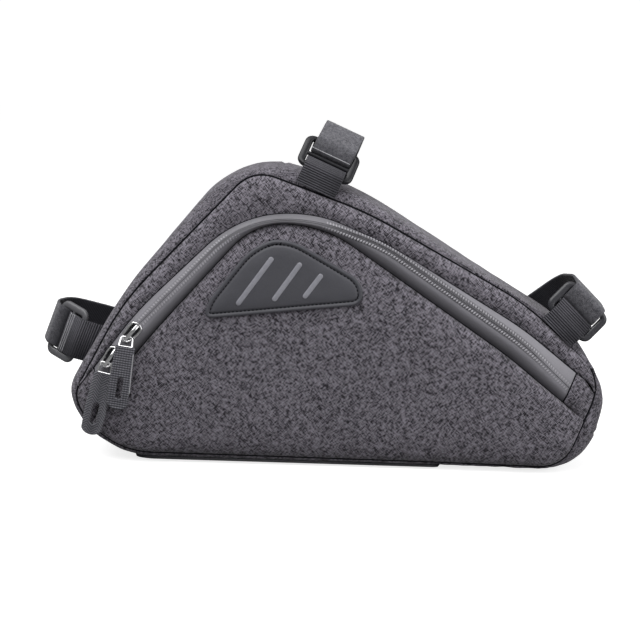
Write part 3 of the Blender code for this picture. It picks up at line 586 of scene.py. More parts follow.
def bump(tree, shader, height, strength, distance):
    node = addNode(tree, "ShaderNodeBump")
    feed(tree, node.inputs["Height"], height)
    node.inputs["Strength"].default_value = strength
    node.inputs["Distance"].default_value = distance
    feed(tree, shader.inputs["Normal"], node.outputs[0])


def flatCoordinates(tree, useUv):
    # UV maps are in metres. Without one, the front is laid out on X and Z.
    if useUv:
        return coordinates(tree, "UV")
    x, _, z = splitAxes(tree, coordinates(tree))
    return flatPair(tree, x, z)


def makeHeather(name, useUv):
    material, tree, shader = newMaterial(name, Roughness=0.92, Sheen_Weight=0.22, Sheen_Roughness=0.45,
                                         Specular_IOR_Level=0.25)
    weave = useGroup(tree, heatherWeave, Vector=flatCoordinates(tree, useUv), Pitch=heather["pitch"],
                     Turn=heather["turn"], Streak=heather["streak"], Contrast=heather["contrast"],
                     Dark=heather["dark"], Light=heather["light"], Cloud=heather["cloud"])
    feed(tree, shader.inputs["Base Color"], weave.outputs["Color"])
    feed(tree, shader.inputs["Roughness"], ramp(tree, weave.outputs["Tone"], 0.0, 1.0, 0.98, 0.84))
    bump(tree, shader, weave.outputs["Height"], 0.55, 0.0002)
    return material


def makeSkin(name, base, rough, scale, mottle, strength, shade=0.3, **plain):
    # painted shade: the attribute "shade" darkens the colour where shade falls, under the beads, over the
    # apex and in the tape's valley
    material, tree, shader = newMaterial(name, **plain)
    skin = useGroup(tree, coatedSkin, Vector=coordinates(tree), Scale=scale, Base=base, Mottle=mottle,
                    Rough=rough)
    dark = tuple(value * shade for value in base)
    colour = blendColours(tree, attributeValue(tree, "shade"), skin.outputs["Color"], dark)
    feed(tree, shader.inputs["Base Color"], colour)
    feed(tree, shader.inputs["Roughness"], skin.outputs["Roughness"])
    bump(tree, shader, skin.outputs["Height"], strength, 0.0002)
    return material


def makeNapped():
    material, tree, shader = newMaterial("nappedStrap", Roughness=0.97, Sheen_Weight=0.25,
                                         Sheen_Roughness=0.35, Specular_IOR_Level=0.1)
    nap = useGroup(tree, napFuzz, Vector=coordinates(tree), Scale=3000.0, Dark=(0.030, 0.030, 0.036),
                   Light=(0.250, 0.247, 0.270))
    along = splitAxes(tree, coordinates(tree, "UV"))[0]
    rows = calc(tree, "SINE", calc(tree, "MULTIPLY", along, 2 * math.pi / 0.0009))
    under = blendColours(tree, ramp(tree, rows, -1.0, 1.0), (0.020, 0.020, 0.024), (0.050, 0.050, 0.058))
    colour = blendColours(tree, attributeValue(tree, "faceUp"), under, nap.outputs["Color"])
    colour = blendColours(tree, attributeValue(tree, "edge"), colour, (0.105, 0.104, 0.115))
    # painted shade: "foldShade" darkens the strap cloth beside its turn round the slide
    colour = blendColours(tree, attributeValue(tree, "foldShade"), colour, (0.022, 0.022, 0.026))
    feed(tree, shader.inputs["Base Color"], colour)
    bump(tree, shader, nap.outputs["Height"], 0.9, 0.0006)
    return material


ribbedLooks = {
    "webbing": {"rough": 0.85, "shine": 0.35, "threads": 0.40, "mottle": (0.8, 0.60)},
    "pull": {"rough": 0.80, "shine": 0.30, "threads": 0.55, "mottle": (0.9, 0.55)},
}


def makeRibbed(name, kind, dark, light, ribPitch, threadPitch, slope=0.0):
    # ribs with the threads that pass over them. They run across webbing, and along V on a pull tab,
    # where a slope bends them into a herringbone.
    look = ribbedLooks[kind]
    material, tree, shader = newMaterial(name, Roughness=look["rough"], Sheen_Weight=0.1,
                                         Specular_IOR_Level=look["shine"])
    along, across = splitAxes(tree, coordinates(tree, "UV"))[:2]
    if kind == "pull":
        folded = calc(tree, "PINGPONG", along, 0.0030)
        along, across = calc(tree, "MULTIPLY_ADD", folded, slope, across), along
    threads = waves(tree, across, threadPitch)
    threads = calc(tree, "MULTIPLY_ADD", threads, look["threads"], 1 - look["threads"])
    height = calc(tree, "MULTIPLY", waves(tree, along, ribPitch), threads)
    mottle = calc(tree, "MULTIPLY_ADD", grain(tree, coordinates(tree), 1500.0), *look["mottle"])
    tone = calc(tree, "MULTIPLY", height, mottle)
    feed(tree, shader.inputs["Base Color"], blendColours(tree, tone, dark, light))
    bump(tree, shader, height, 0.8, 0.0004)
    return material


def makeMetal(name, base, rough):
    material, tree, shader = newMaterial(name, Metallic=1.0)
    smudge = grain(tree, coordinates(tree), 700.0, 4.0, 0.6)
    dull = tuple(value * 0.8 for value in base)
    feed(tree, shader.inputs["Base Color"], blendColours(tree, ramp(tree, smudge, 0.3, 0.7), base, dull))
    feed(tree, shader.inputs["Roughness"], ramp(tree, smudge, 0.3, 0.7, rough, rough + 0.15))
    bump(tree, shader, grain(tree, coordinates(tree), 4000.0), 0.1, 0.00005)
    return material


def makeBars():
    # glass-bead finish: pale grey with a fine even grain
    material, tree, shader = newMaterial("reflectiveBars", Roughness=0.42, Specular_IOR_Level=0.6)
    beads = addNode(tree, "ShaderNodeTexVoronoi")
    feed(tree, beads.inputs["Vector"], coordinates(tree))
    feed(tree, beads.inputs["Scale"], 3500.0)
    cloud = grain(tree, coordinates(tree), 400.0, 3.0)
    tone = calc(tree, "ADD", calc(tree, "MULTIPLY", beads.outputs["Distance"], 0.5), cloud)
    tone = ramp(tree, tone, 0.4, 1.0)
    colour = blendColours(tree, tone, (0.330, 0.330, 0.370), (0.270, 0.270, 0.305))
    feed(tree, shader.inputs["Base Color"], colour)
    bump(tree, shader, beads.outputs["Distance"], 0.25, 0.00008)
    return material


# name, colour, roughness, grain scale, mottle, bump strength, share of the colour kept in painted shade, and
# shine
skins = {
    "tape": ("coatedTape", (0.270, 0.263, 0.290), 0.42, 2600.0, 0.25, 0.20, 0.14, 0.4),
    "coil": ("coatedCoil", (0.360, 0.352, 0.380), 0.40, 2600.0, 0.25, 0.10, 0.3, 0.5),
    "patch": ("coatedPatch", (0.078, 0.078, 0.090), 0.52, 2400.0, 0.25, 0.25, 0.3, 0.4),
    "base": ("coatedBase", (0.024, 0.024, 0.030), 0.55, 1400.0, 0.4, 0.35, 0.3, 0.5),
    # the slides stand in different light, so each has its own tone of the same plastic
    "plastic": ("ringPlastic", (0.014, 0.014, 0.017), 0.30, 3000.0, 0.2, 0.06, 0.3, 0.38),
    "plasticLit": ("litRingPlastic", (0.110, 0.110, 0.118), 0.34, 3000.0, 0.2, 0.06, 0.3, 0.5),
    "plasticHalf": ("halfLitRingPlastic", (0.045, 0.045, 0.052), 0.30, 3000.0, 0.2, 0.06, 0.3, 0.5),
    "rib": ("ribYarn", (0.085, 0.083, 0.096), 0.75, 2400.0, 0.9, 0.4, 0.3, 0.3),
    # painted highlight: a light copy of the rib yarn, for the glint on ribs turning over a slide's bar
    "lightRib": ("lightRibYarn", (0.30, 0.30, 0.32), 0.7, 2400.0, 0.9, 0.4, 0.3, 0.5),
    "hem": ("strapHem", (0.36, 0.36, 0.38), 0.7, 2400.0, 0.8, 0.3, 0.3, 0.5),
    # thread colour: real stitches, and painted shadow in the grooves and in the pulls' slots
    "thread": ("darkThread", (0.010, 0.010, 0.013), 0.9, 2400.0, 0.6, 0.3, 0.3, 0.15),
}
materials = {
    "front": makeHeather("heatherFront", False),
    "gusset": makeHeather("heatherGusset", True),
    "metal": makeMetal("brightMetal", (0.88, 0.88, 0.89), 0.10),
    "darkMetal": makeMetal("shadedMetal", (0.06, 0.06, 0.065), 0.30),
    "pull_upper": makeRibbed("gridPull", "pull", (0.012, 0.012, 0.016), (0.200, 0.198, 0.225),
                             0.00125, 0.0014),
    "pull_lower": makeRibbed("herringbonePull", "pull", (0.022, 0.022, 0.027), (0.230, 0.228, 0.255),
                             0.00150, 0.02, 0.9),
    "webbing": makeRibbed("ribbedWebbing", "webbing", (0.010, 0.010, 0.013), (0.030, 0.030, 0.036),
                          0.0012, 0.0009),
    "strap": makeNapped(),
    "bars": makeBars(),
}
for skinName, (*skinValues, skinShine) in skins.items():
    materials[skinName] = makeSkin(*skinValues, Specular_IOR_Level=skinShine)
print("materials made")


# Bag loops: the outline and the front seam, point for point

def bagLoops():
    rows = list(loopCorners.values())
    arcs = []
    for kind in (0, 3):
        points = [bodyPoint(row[kind], row[kind + 1]) for row in rows]
        found = []
        for index, row in enumerate(rows):
            reach = row[kind + 2] * body["height"]
            before = (points[index - 1] - points[index]).normalized()
            after = (points[(index + 1) % len(points)] - points[index]).normalized()
            steps = max(5, round(2 * row[2] * body["height"] / body["step"]))
            found.append(cornerCurve(points[index] + before * reach, points[index],
                                     points[index] + after * reach, steps))
        arcs.append(found)
    outline, seam = [], []
    for index in range(len(rows)):
        after = (index + 1) % len(rows)
        outline += arcs[0][index]
        seam += arcs[1][index]
        start, end = arcs[0][index][-1], arcs[0][after][0]
        cuts = max(1, round((end - start).length / body["step"]))
        for cut in range(1, cuts):
            outline.append(start.lerp(end, cut / cuts))
            seam.append(arcs[1][index][-1].lerp(arcs[1][after][0], cut / cuts))
    least = 0.0004      # points closer than this are left out
    kept = [index for index in range(len(outline))
            if (outline[index] - outline[index - 1]).length > least
            or (seam[index] - seam[index - 1]).length > least]
    return [outline[index] for index in kept], [seam[index] for index in kept]


outlinePoints, seamPoints = bagLoops()
outlineLine = Line(outlinePoints, closed=True)
seamRound = [seamPoints[-1]] + seamPoints + [seamPoints[0]]
seamLine = Line(shifted(seamRound, body["clearance"] * 1.2)[1:-1], closed=True)
panelSeamLine = Line(shifted(seamRound, body["clearance"] * 1.2 + body["seamGap"])[1:-1], closed=True)
marks = {name: seamLine.nearest(bodyPoint(*place)) for name, place in seamMarks.items()}
if marks["leftBottom"] < 0.5:
    marks["leftBottom"] += 1.0

rails = {}
railEnds = {
    "band": (seamLine.at(marks["leftTop"]), seamLine.at(marks["rightTop"])),
    "lip": (seamLine.at(marks["leftBottom"]), seamLine.at(marks["rightBottom"])),
}
railEnds["slit"] = tuple((railEnds["band"][side] + railEnds["lip"][side]) / 2 for side in (0, 1))
for railName, railRows in zipLines.items():
    railCorners = [(railEnds[railName][0], 0, 0)]
    railCorners += [(bodyPoint(x, z), reach * body["height"], 24) for x, z, reach in railRows]
    railCorners.append((railEnds[railName][1], 0, 0))
    rails[railName] = Line(roundedPath(railCorners))


def endFade(share):
    near = min(share, 1 - share) / body["endFade"]
    return 1 - (1 - min(max(near, 0.0), 1.0)) ** 2


def slack(x, z, seed, scale=0.045):
    # how far the cloth stands off its even shape, from -1 to 1
    broad = noise.noise(Vector((x / scale, z / scale, seed)))
    return broad + 0.45 * noise.noise(Vector((x / scale * 2.3, z / scale * 2.3, seed + 7)))


# Gusset: the rolled band round the bag

gusset = {
    "wall": 0.0011,
    "rows": ((-1.000, 1.00), (-0.965, 0.62), (-0.890, 0.28), (-0.770, 0.08), (-0.560, 0.00), (-0.200, 0.00),
             (0.200, 0.00), (0.560, 0.00), (0.770, 0.08), (0.890, 0.28), (0.965, 0.62), (1.000, 1.00)),
    "tuck": 0.0026,         # how deep the cloth turns in at the seams
    "slack": 0.00045,
    "pucker": 0.00035,
    "puckerLength": 0.0075,
    "puckerReach": 0.009,   # how far from the seam the cloth puckers
    "crossSeams": ((-0.109, 1.006), (0.487, 0.130)),     # where a short seam crosses the gusset
    "crossWidth": 0.0011,
    "crossDepth": 0.0009,
}


def gussetSections(tuck):
    half = body["halfDepth"]
    count = len(outlinePoints)
    sections, outwards = [], []
    for index in range(count):
        way = (outlinePoints[(index + 1) % count] - outlinePoints[index - 1]).normalized()
        inward = seamPoints[index] - outlinePoints[index]
        inwardWay = inward.normalized() if inward.length else Vector((way.y, -way.x))
        section = []
        if tuck:
            end = seamPoints[index] + inwardWay * 0.0002
            section.append(Vector((end.x, -half + tuck, end.y)))
        for depth, inset in gusset["rows"]:
            flat = outlinePoints[index] + inward * inset
            section.append(Vector((flat.x, depth * half, flat.y)))
        if tuck:
            section.append(Vector((end.x, half - tuck, end.y)))
        sections.append(easedPath(section, 4, 0.46))
        outwards.append(Vector((-way.y, way.x)))
    return sections, outwards


def buildGusset():
    sections, outwards = gussetSections(gusset["tuck"])
    crossings = [outlineLine.nearest(bodyPoint(*place)) * outlineLine.length()
                 for place in gusset["crossSeams"]]
    half = body["halfDepth"]
    along = 0.0
    grid = []
    for index, section in enumerate(sections):
        if index:
            along += (outlinePoints[index] - outlinePoints[index - 1]).length
        row = []
        for point in section:
            inside = half - abs(point.y)
            nearSeam = max(0.0, 1 - inside / gusset["puckerReach"])
            middle = 1 - nearSeam
            loose = gusset["slack"] * middle * slack(along, point.y * 1.3, 3.0, 0.030)
            pucker = gusset["pucker"] * nearSeam * math.sin(min(1.0, inside / 0.0012) * math.pi / 2)
            side = math.copysign(4.0, point.y)
            pucker *= noise.noise(Vector((along / gusset["puckerLength"], side, 1.0))) * 1.6
            dip = sum(math.exp(-((along - place) / (gusset["crossWidth"] / 2)) ** 2) for place in crossings)
            swell = sum(math.exp(-((abs(along - place) - 0.0022) / 0.0016) ** 2) for place in crossings)
            lift = loose + pucker - gusset["crossDepth"] * dip + 0.0003 * swell * middle
            out = outwards[index]
            row.append((point.x + out.x * lift, point.y, point.z + out.y * lift))
        grid.append(row)
    grid = np.array(grid)
    centre = grid.reshape(-1, 3).mean(axis=0)
    facing = (grid - centre) * (1, 0.2, 1)
    piece = clothShell("gusset_cloth", grid, gusset["wall"], facing, materials["gusset"], metreUv(grid),
                       loop=True)
    return dress(piece, "gusset_cloth", "gusset")


buildGusset()
print("gusset made")


# Base: the dark coated patch under the bag

base = {
    "left": -0.382,
    "right": 0.201,
    "wrap": 0.93,
    "wall": 0.0012,
    "corner": 0.009,
    "edge": 0.00035,
    "steps": 110,
}


def buildBase():
    sections, _ = gussetSections(0)
    left, right = base["left"] * body["length"], base["right"] * body["length"]
    flatRows = [np.array([tuple(point) for point in section]) for section in sections]
    middles = np.array([section[len(section) // 2] for section in flatRows])
    bottom = [index for index in range(len(middles)) if middles[index, 2] < 0.3 * body["height"]
              and left - 0.01 < middles[index, 0] < right + 0.01]
    bottom.sort(key=lambda index: middles[index, 0])
    places = middles[bottom, 0]
    table = np.array([flatRows[index] for index in bottom])
    half = body["halfDepth"]
    grid = []
    for step in range(base["steps"] + 1):
        x = left + (right - left) * step / base["steps"]
        near = min(x - left, right - x)
        reach = base["wrap"] * half
        if near < base["corner"]:
            reach -= base["corner"] * (1 - math.sqrt(max(0.0, 1 - (1 - near / base["corner"]) ** 2)))
        spot = int(np.clip(np.searchsorted(places, x) - 1, 0, len(places) - 2))
        share = (x - places[spot]) / (places[spot + 1] - places[spot])
        section = table[spot] * (1 - share) + table[spot + 1] * share
        depths = np.linspace(-reach, reach, 61)
        grid.append(np.stack([np.interp(depths, section[:, 1], section[:, axis]) for axis in range(3)], -1))
    grid = np.array(grid)
    normal = np.cross(np.gradient(grid, axis=0), np.gradient(grid, axis=1))
    normal /= np.linalg.norm(normal, axis=2, keepdims=True)
    if normal[:, :, 2].mean() > 0:
        normal = -normal
    grid = grid + normal * (body["clearance"] + base["wall"])
    grid[:, :, 2] = np.maximum(grid[:, :, 2], 0.0)
    piece = clothShell("base_coating", grid, base["wall"], (0, 0, -1), materials["base"], metreUv(grid))
    roundEdges(piece, base["edge"])
    return dress(piece, "base_coating", "base_panel")


def roundEdges(piece, width):
    edge = piece.modifiers.new("roundedEdges", "BEVEL")
    edge.width = width
    edge.segments = 3
    edge.limit_method = "ANGLE"
    edge.angle_limit = math.radians(50)
    edge.harden_normals = False
    return bakeModifiers(piece)


buildBase()
print("base made")


# Zip bumps: the coil shows through the tape as two rows of slanted beads

zipBumps = {
    "start": 0.155,
    "endMargin": 0.012,
    "pitch": 0.00162,
    "offset": 0.00150,
    "length": 0.0019,
    "width": 0.00115,
    "height": 0.0015,
    "slant": 1.2,
    "sink": 0.00012,
    "leftStrength": 0.30,
    "rightStrength": 1.0,
    "smooth": (0.38, 0.49),      # shares of the zip where nothing shows, over the apex
}


def bumpStrength(share):
    low, high = zipBumps["smooth"]
    if share < low:
        return zipBumps["leftStrength"] * min(1.0, (low - share) / 0.05)
    if share > high:
        tail = min(1.0, max(0.25, (0.95 - share) / 0.12))
        return zipBumps["rightStrength"] * min(1.0, (share - high) / 0.06) * tail
    return 0.0


# Front: the band over the zip, the two halves of the tape and the lower panel

front = {
    "steps": 150,
    "wall": 0.0010,
    "bandRows": ((0.00, 0.07), (0.14, 0.55), (0.38, 0.93), (0.68, 1.00), (1.00, 0.74)),
    "upperTapeRows": ((0.00, 0.44), (0.50, 0.76), (1.00, 0.96)),
    "lowerTapeRows": ((0.00, 0.96), (0.38, 0.98), (0.72, 0.66), (1.00, 0.26)),
    "panelRows": ((0.000, 0.30), (0.014, 0.60), (0.050, 0.84), (0.150, 0.97), (0.420, 1.00), (0.700, 0.95),
                  (0.870, 0.80), (0.950, 0.58), (0.985, 0.30), (1.000, 0.04)),
    "backRows": ((0.00, 0.07), (0.04, 0.45), (0.16, 0.85), (0.50, 1.00), (0.84, 0.85), (0.96, 0.45),
                 (1.00, 0.07)),
    # how each edge goes on past its row, as pairs of (across, height)
    "afterSeam": ((0.0002, -0.0024), (0.0001, -0.0008)),
    "beforeSeam": ((-0.0001, -0.0008), (-0.0002, -0.0024)),
    "bandEdge": ((0.0001, -0.0011), (-0.0018, -0.0014)),
    "upperTapeEdges": (((-0.0030, -0.0016), (-0.0012, -0.0007)), ((0.0, -0.0004), (-0.0002, -0.0012))),
    "lowerTapeEdges": (((0.0002, -0.0012), (0.0, -0.0004)), ((0.0012, -0.0006), (0.0030, -0.0012))),
    "lipEdge": ((0.0022, -0.0020), (0.0001, -0.0012)),
    "tapeWall": 0.0007,
    "slitGap": 0.00012,
    # painted shade in the tape's valley beside the panel
    "valleyShade": 0.95,
    "line": (0.00042, 0.0003),          # half width and half height of the painted shadow line at the tape's edges
    # painted shadow cords in the seam grooves: their half width and half height, and how deep they lie
    "seamShadow": (0.0011, 0.0006),
    "seamShadowDepth": 0.0008,
    "apexShade": 0.55,      # painted shade: how much darker the tape is over the apex, where and how far along the zip
    "apexShare": 0.43,
    "apexSpread": 0.15,
    "panelSlack": 0.0007,
    "bandSlack": 0.0003,
}


def fadedHeight(lift, rise, fade):
    # the height over the seam, which falls off towards the ends
    return body["seamRise"] + (lift * rise - body["seamRise"]) * fade


def frontGrid(starts, ends, rows, rise, fades, before, after, steps=5):
    # before and after carry the section on past its first and last row
    grid = []
    for first, last, fade in zip(starts, ends, fades):
        width = max((last - first).length, 1e-5)
        way = (last - first) / width
        small = min(1.0, width / 0.006)
        heights = [max(fadedHeight(lift, rise, fade), body["seamRise"]) for _, lift in rows]
        section = [Vector((share * width, height)) for (share, _), height in zip(rows, heights)]
        section = ([section[0] + Vector(pair) * small for pair in before] + section
                   + [section[-1] + Vector(pair) * small for pair in after])
        grid.append([(first.x + way.x * point.x, -body["halfDepth"] - point.y, first.y + way.y * point.x)
                     for point in easedPath(section, steps)])
    return np.array(grid)


def loosened(grid, amount, seed, edge=0.010):
    # even cloth gets its soft dents, none at its edges
    uv = metreUv(grid)
    width = uv[:, :, 1].max(axis=1, keepdims=True) - uv[:, :, 1].min(axis=1, keepdims=True)
    fromEdge = np.minimum(uv[:, :, 1] - uv[:, :, 1].min(axis=1, keepdims=True),
                          uv[:, :, 1].max(axis=1, keepdims=True) - uv[:, :, 1])
    weight = np.clip(fromEdge / np.minimum(edge, width / 3 + 1e-6), 0, 1)
    for row in range(grid.shape[0]):
        for column in range(grid.shape[1]):
            x, y, z = grid[row, column]
            grid[row, column, 1] = y - amount * weight[row, column] * slack(x, z, seed)
    return grid


def shares(start, end, steps):
    return [start + (end - start) * step / steps for step in range(steps + 1)]


def acrossFrom(railName, stations):
    # the places on a rail that lie straight across from the slit, evened out and true at the two ends
    found = np.array([rails[railName].nearest(rails["slit"].at(share)) for share in stations])
    found = np.maximum.accumulate(found)
    found = np.convolve(np.pad(found, 6, mode="reflect", reflect_type="odd"), np.ones(13) / 13, "valid")
    given = np.array(stations)
    trust = np.clip(np.minimum(given - given[0], given[-1] - given) / 0.06, 0, 1)
    return [rails[railName].at(float(share)) for share in found * trust + given * (1 - trust)]


def shadeCoil(piece, grid, line, stations, valley):
    # painted shade: the tape is darker where the rows of beads stand, over the apex, and down in the valley
    # beside the panel
    values = []
    for row, centre, share in zip(grid, line, stations):
        offset = np.hypot(row[:, 0] - centre.x, row[:, 2] - centre.y)
        bend = front["apexShade"] * max(0.0, 1 - abs(share - front["apexShare"]) / front["apexSpread"])
        coil = bend + 0.6 * bumpStrength(share) * np.clip((0.0028 - offset) / 0.0005, 0, 1)
        values.append(np.maximum(coil, valley * np.clip((offset / offset.max() - 0.28) / 0.5, 0, 1)))
    markPoints(piece, "shade", np.concatenate([np.array(values).ravel()] * 2))


def shadowCord(name, places, size, slotName, closed=False):
    # painted shadow: a dark cord laid in a groove stands for the shadow line there
    places = [Vector(place) for place in places]
    towards = Vector((0, -1, 0))
    cord = sweep(name, places, sidesAlong(places, towards, closed), [towards] * len(places),
                 ovalSection(*size, 8), materials["thread"], closed=closed)
    return dress(cord, slotName)


def between(first, second, stations):
    return [panelSeamLine.at(first + (second - first) * share) for share in stations]


def buildFront():
    steps = front["steps"]
    whole = shares(0.004, 0.996, steps)
    fades = [endFade(share) for share in whole]
    towards = (0, -1, 0)
    seamTop = between(marks["leftTop"], marks["rightTop"], whole)
    bandEdge = [rails["band"].at(share) for share in whole]
    grid = frontGrid(seamTop, bandEdge, front["bandRows"], body["bandRise"], fades, front["afterSeam"],
                     front["bandEdge"])
    grid = loosened(grid, front["bandSlack"], 11.0, 0.004)
    band = clothShell("front_band", grid, front["wall"], towards, materials["front"], metreUv(grid))

    inner = shares(zipEnds[0] - 0.004, zipEnds[1] + 0.004, steps)
    fades = [endFade(share) for share in inner]
    slit = [rails["slit"].at(share) for share in inner]
    grid = frontGrid(acrossFrom("band", inner), shifted(slit, -front["slitGap"]), front["upperTapeRows"],
                     body["ridgeRise"], fades, *front["upperTapeEdges"], 6)
    upper = clothShell("tape_upper", grid, front["tapeWall"], towards, materials["tape"], metreUv(grid))
    shadeCoil(upper, grid, slit, inner, 0.0)
    grid = frontGrid(shifted(slit, front["slitGap"]), acrossFrom("lip", inner), front["lowerTapeRows"],
                     body["ridgeRise"], fades, *front["lowerTapeEdges"], 6)
    lower = clothShell("tape_lower", grid, front["tapeWall"], towards, materials["tape"], metreUv(grid))
    shadeCoil(lower, grid, slit, inner, front["valleyShade"])
    # painted shadow lines along the tape's upper and lower edges
    for name, rail, lift, push in (("band_line", "band", 0.44, 0.00025), ("lip_line", "lip", 0.26, -0.00035)):
        places = []
        for point, fade in zip(shifted(acrossFrom(rail, inner), push), fades):
            height = fadedHeight(lift, body["ridgeRise"], fade)
            places.append((point.x, -body["halfDepth"] - height - 0.0001, point.y))
        shadowCord(name, places, front["line"], "heather_cloth")

    fades = [endFade(share) for share in whole]
    lipEdge = [rails["lip"].at(share) for share in whole]
    seamLow = between(marks["leftBottom"], marks["rightBottom"], whole)
    grid = frontGrid(lipEdge, seamLow, front["panelRows"], body["domeRise"], fades, front["lipEdge"],
                     front["beforeSeam"])
    grid = loosened(grid, front["panelSlack"], 23.0, 0.014)
    panel = clothShell("front_panel", grid, front["wall"], towards, materials["front"], metreUv(grid))

    # the back panel runs from halfway between the left marks to halfway between the right ones
    middle = (marks["leftTop"] + marks["leftBottom"] - 1.0) / 2
    last = (marks["rightTop"] + marks["rightBottom"]) / 2
    grid = frontGrid(between(middle, last, whole), between(middle + 1.0, last, whole), front["backRows"],
                     body["backDome"], fades, front["afterSeam"], front["beforeSeam"])
    grid = loosened(grid, front["panelSlack"], 41.0, 0.014)
    grid[:, :, 1] *= -1
    back = clothShell("back_cloth", grid, front["wall"], (0, 1, 0), materials["front"], metreUv(grid))
    dress(band, "heather_cloth", "front_panel_upper")
    dress(upper, "zip_tape", "zipper_tape_upper")
    dress(lower, "zip_tape", "zipper_tape_lower")
    dress(panel, "heather_cloth", "front_panel_lower")
    dress(back, "heather_cloth", "back_panel")
    return upper, lower, panel


def buildSeamShadows():
    # painted shadow: a dark cord runs round each seam groove, where the cloth edges meet in the dark
    around = [seamLine.at(step / 260) for step in range(260)]
    depth = body["halfDepth"] - front["seamShadowDepth"]
    for name, y in (("seam_shadow_front", -depth), ("seam_shadow_back", depth)):
        places = [(point.x, y, point.y) for point in around]
        shadowCord(name, places, front["seamShadow"], "gusset_cloth", closed=True)


tapeUpper, tapeLower, panelPiece = buildFront()
buildSeamShadows()
print("front and back made")


# End pieces: cloth over the ends of the tape

endPiece = {
    "wall": 0.0007,
    "rise": 0.0015,
    "overlap": 0.0028,
    "across": 36,
    "spare": 0.14,              # how far it goes on under its neighbours, as a share of its width
    # painted shadow line along the fold: its half width and half height
    "line": (0.0004, 0.0003),
}


def buildEndPiece(name, share, overlapShare, seamStart, seamEnd, node):
    edge = share + overlapShare
    fade = endFade(edge)
    places = []
    for start, end, rows in (("band", "slit", front["upperTapeRows"]),
                             ("slit", "lip", front["lowerTapeRows"][1:])):
        first, last = rails[start].at(edge), rails[end].at(edge)
        for across, lift in rows:
            height = fadedHeight(lift, body["ridgeRise"], fade)
            flat = first.lerp(last, across)
            places.append(Vector((flat.x, height, flat.y)))
    section = Line(easedPath(places, 4))
    grid, foldLine = [], []
    spare = endPiece["spare"]
    for step in range(endPiece["across"] + 1):
        wide = -spare + (1 + 2 * spare) * step / endPiece["across"]
        across = min(max(wide, 0.0), 1.0)
        beyond = wide - across
        top = section.at(0.03 + 0.94 * across)
        if beyond:
            top = top + (section.at(1.0) - section.at(0.0)) * beyond
            top = top - Vector((0, abs(beyond) / spare * 0.0016, 0))
        seam = panelSeamLine.at(seamStart + (seamEnd - seamStart) * across)
        rise = endPiece["rise"] * min(1.0, min(across, 1 - across) / 0.08)
        start = Vector((seam.x, body["seamRise"] - 0.0002, seam.y))
        deep = Vector((seam.x, -0.0022, seam.y))
        knee = start.lerp(top, 0.35)
        knee.y = body["seamRise"] + (top.y + rise - body["seamRise"]) * 0.60
        crown = start.lerp(top, 0.88)
        crown.y = top.y + rise * 1.05
        fold = Vector((top.x, top.y + rise * 0.55, top.z))
        if not beyond:
            foldLine.append((top.x, -body["halfDepth"] - top.y - 0.00015, top.z))
        under = start.lerp(top, 0.93)
        under.y = top.y - 0.0002
        row = easedPath([deep, start, knee, crown, fold, under], 4)
        grid.append([(point.x, -body["halfDepth"] - point.y, point.z) for point in row])
    grid = np.array(grid)
    piece = clothShell(name, grid, endPiece["wall"], (0, -1, 0), materials["front"], metreUv(grid))
    # painted shadow along the fold's edge over the tape
    shadowCord(name + "_line", foldLine, endPiece["line"], "heather_cloth")
    return dress(piece, "heather_cloth", node)


def buildEndPieces():
    margin = body["clearance"] / seamLine.length()
    overlap = endPiece["overlap"] / rails["slit"].length()
    buildEndPiece("end_cloth_left", zipEnds[0], overlap, marks["leftTop"] - margin,
                  marks["leftBottom"] - 1.0 + margin, "zip_end_left")
    buildEndPiece("end_cloth_right", zipEnds[1], -overlap, marks["rightTop"] + margin,
                  marks["rightBottom"] - margin, "zip_end_right")


buildEndPieces()
print("zip ends made")


# Repeats: one Geometry Nodes tree puts small beads along lines, another lays ribs across a band

def pointsAlong(tree, given):
    curve = addNode(tree, "GeometryNodeMeshToCurve")
    feed(tree, curve.inputs["Mesh"], given["Geometry"])
    even = addNode(tree, "GeometryNodeResampleCurve", mode="LENGTH")
    feed(tree, even.inputs["Curve"], curve.outputs["Curve"])
    feed(tree, even.inputs["Length"], given["Pitch"])
    tangent = addNode(tree, "GeometryNodeInputTangent")
    up = addNode(tree, "GeometryNodeInputNamedAttribute", data_type="FLOAT_VECTOR")
    up.inputs["Name"].default_value = "up"
    first = addNode(tree, "FunctionNodeAlignRotationToVector", axis="X")
    feed(tree, first.inputs["Vector"], tangent.outputs[0])
    second = addNode(tree, "FunctionNodeAlignRotationToVector", axis="Z", pivot_axis="X")
    feed(tree, second.inputs["Rotation"], first.outputs[0])
    feed(tree, second.inputs["Vector"], up.outputs[0])
    return even.outputs[0], second.outputs[0]


def finishTree(tree, result, instances, given):
    real = addNode(tree, "GeometryNodeRealizeInstances")
    feed(tree, real.inputs[0], instances)
    smooth = addNode(tree, "GeometryNodeSetShadeSmooth")
    feed(tree, smooth.inputs[0], real.outputs[0])
    paint = addNode(tree, "GeometryNodeSetMaterial")
    feed(tree, paint.inputs["Geometry"], smooth.outputs[0])
    feed(tree, paint.inputs["Material"], given["Material"])
    feed(tree, result.inputs[0], paint.outputs[0])


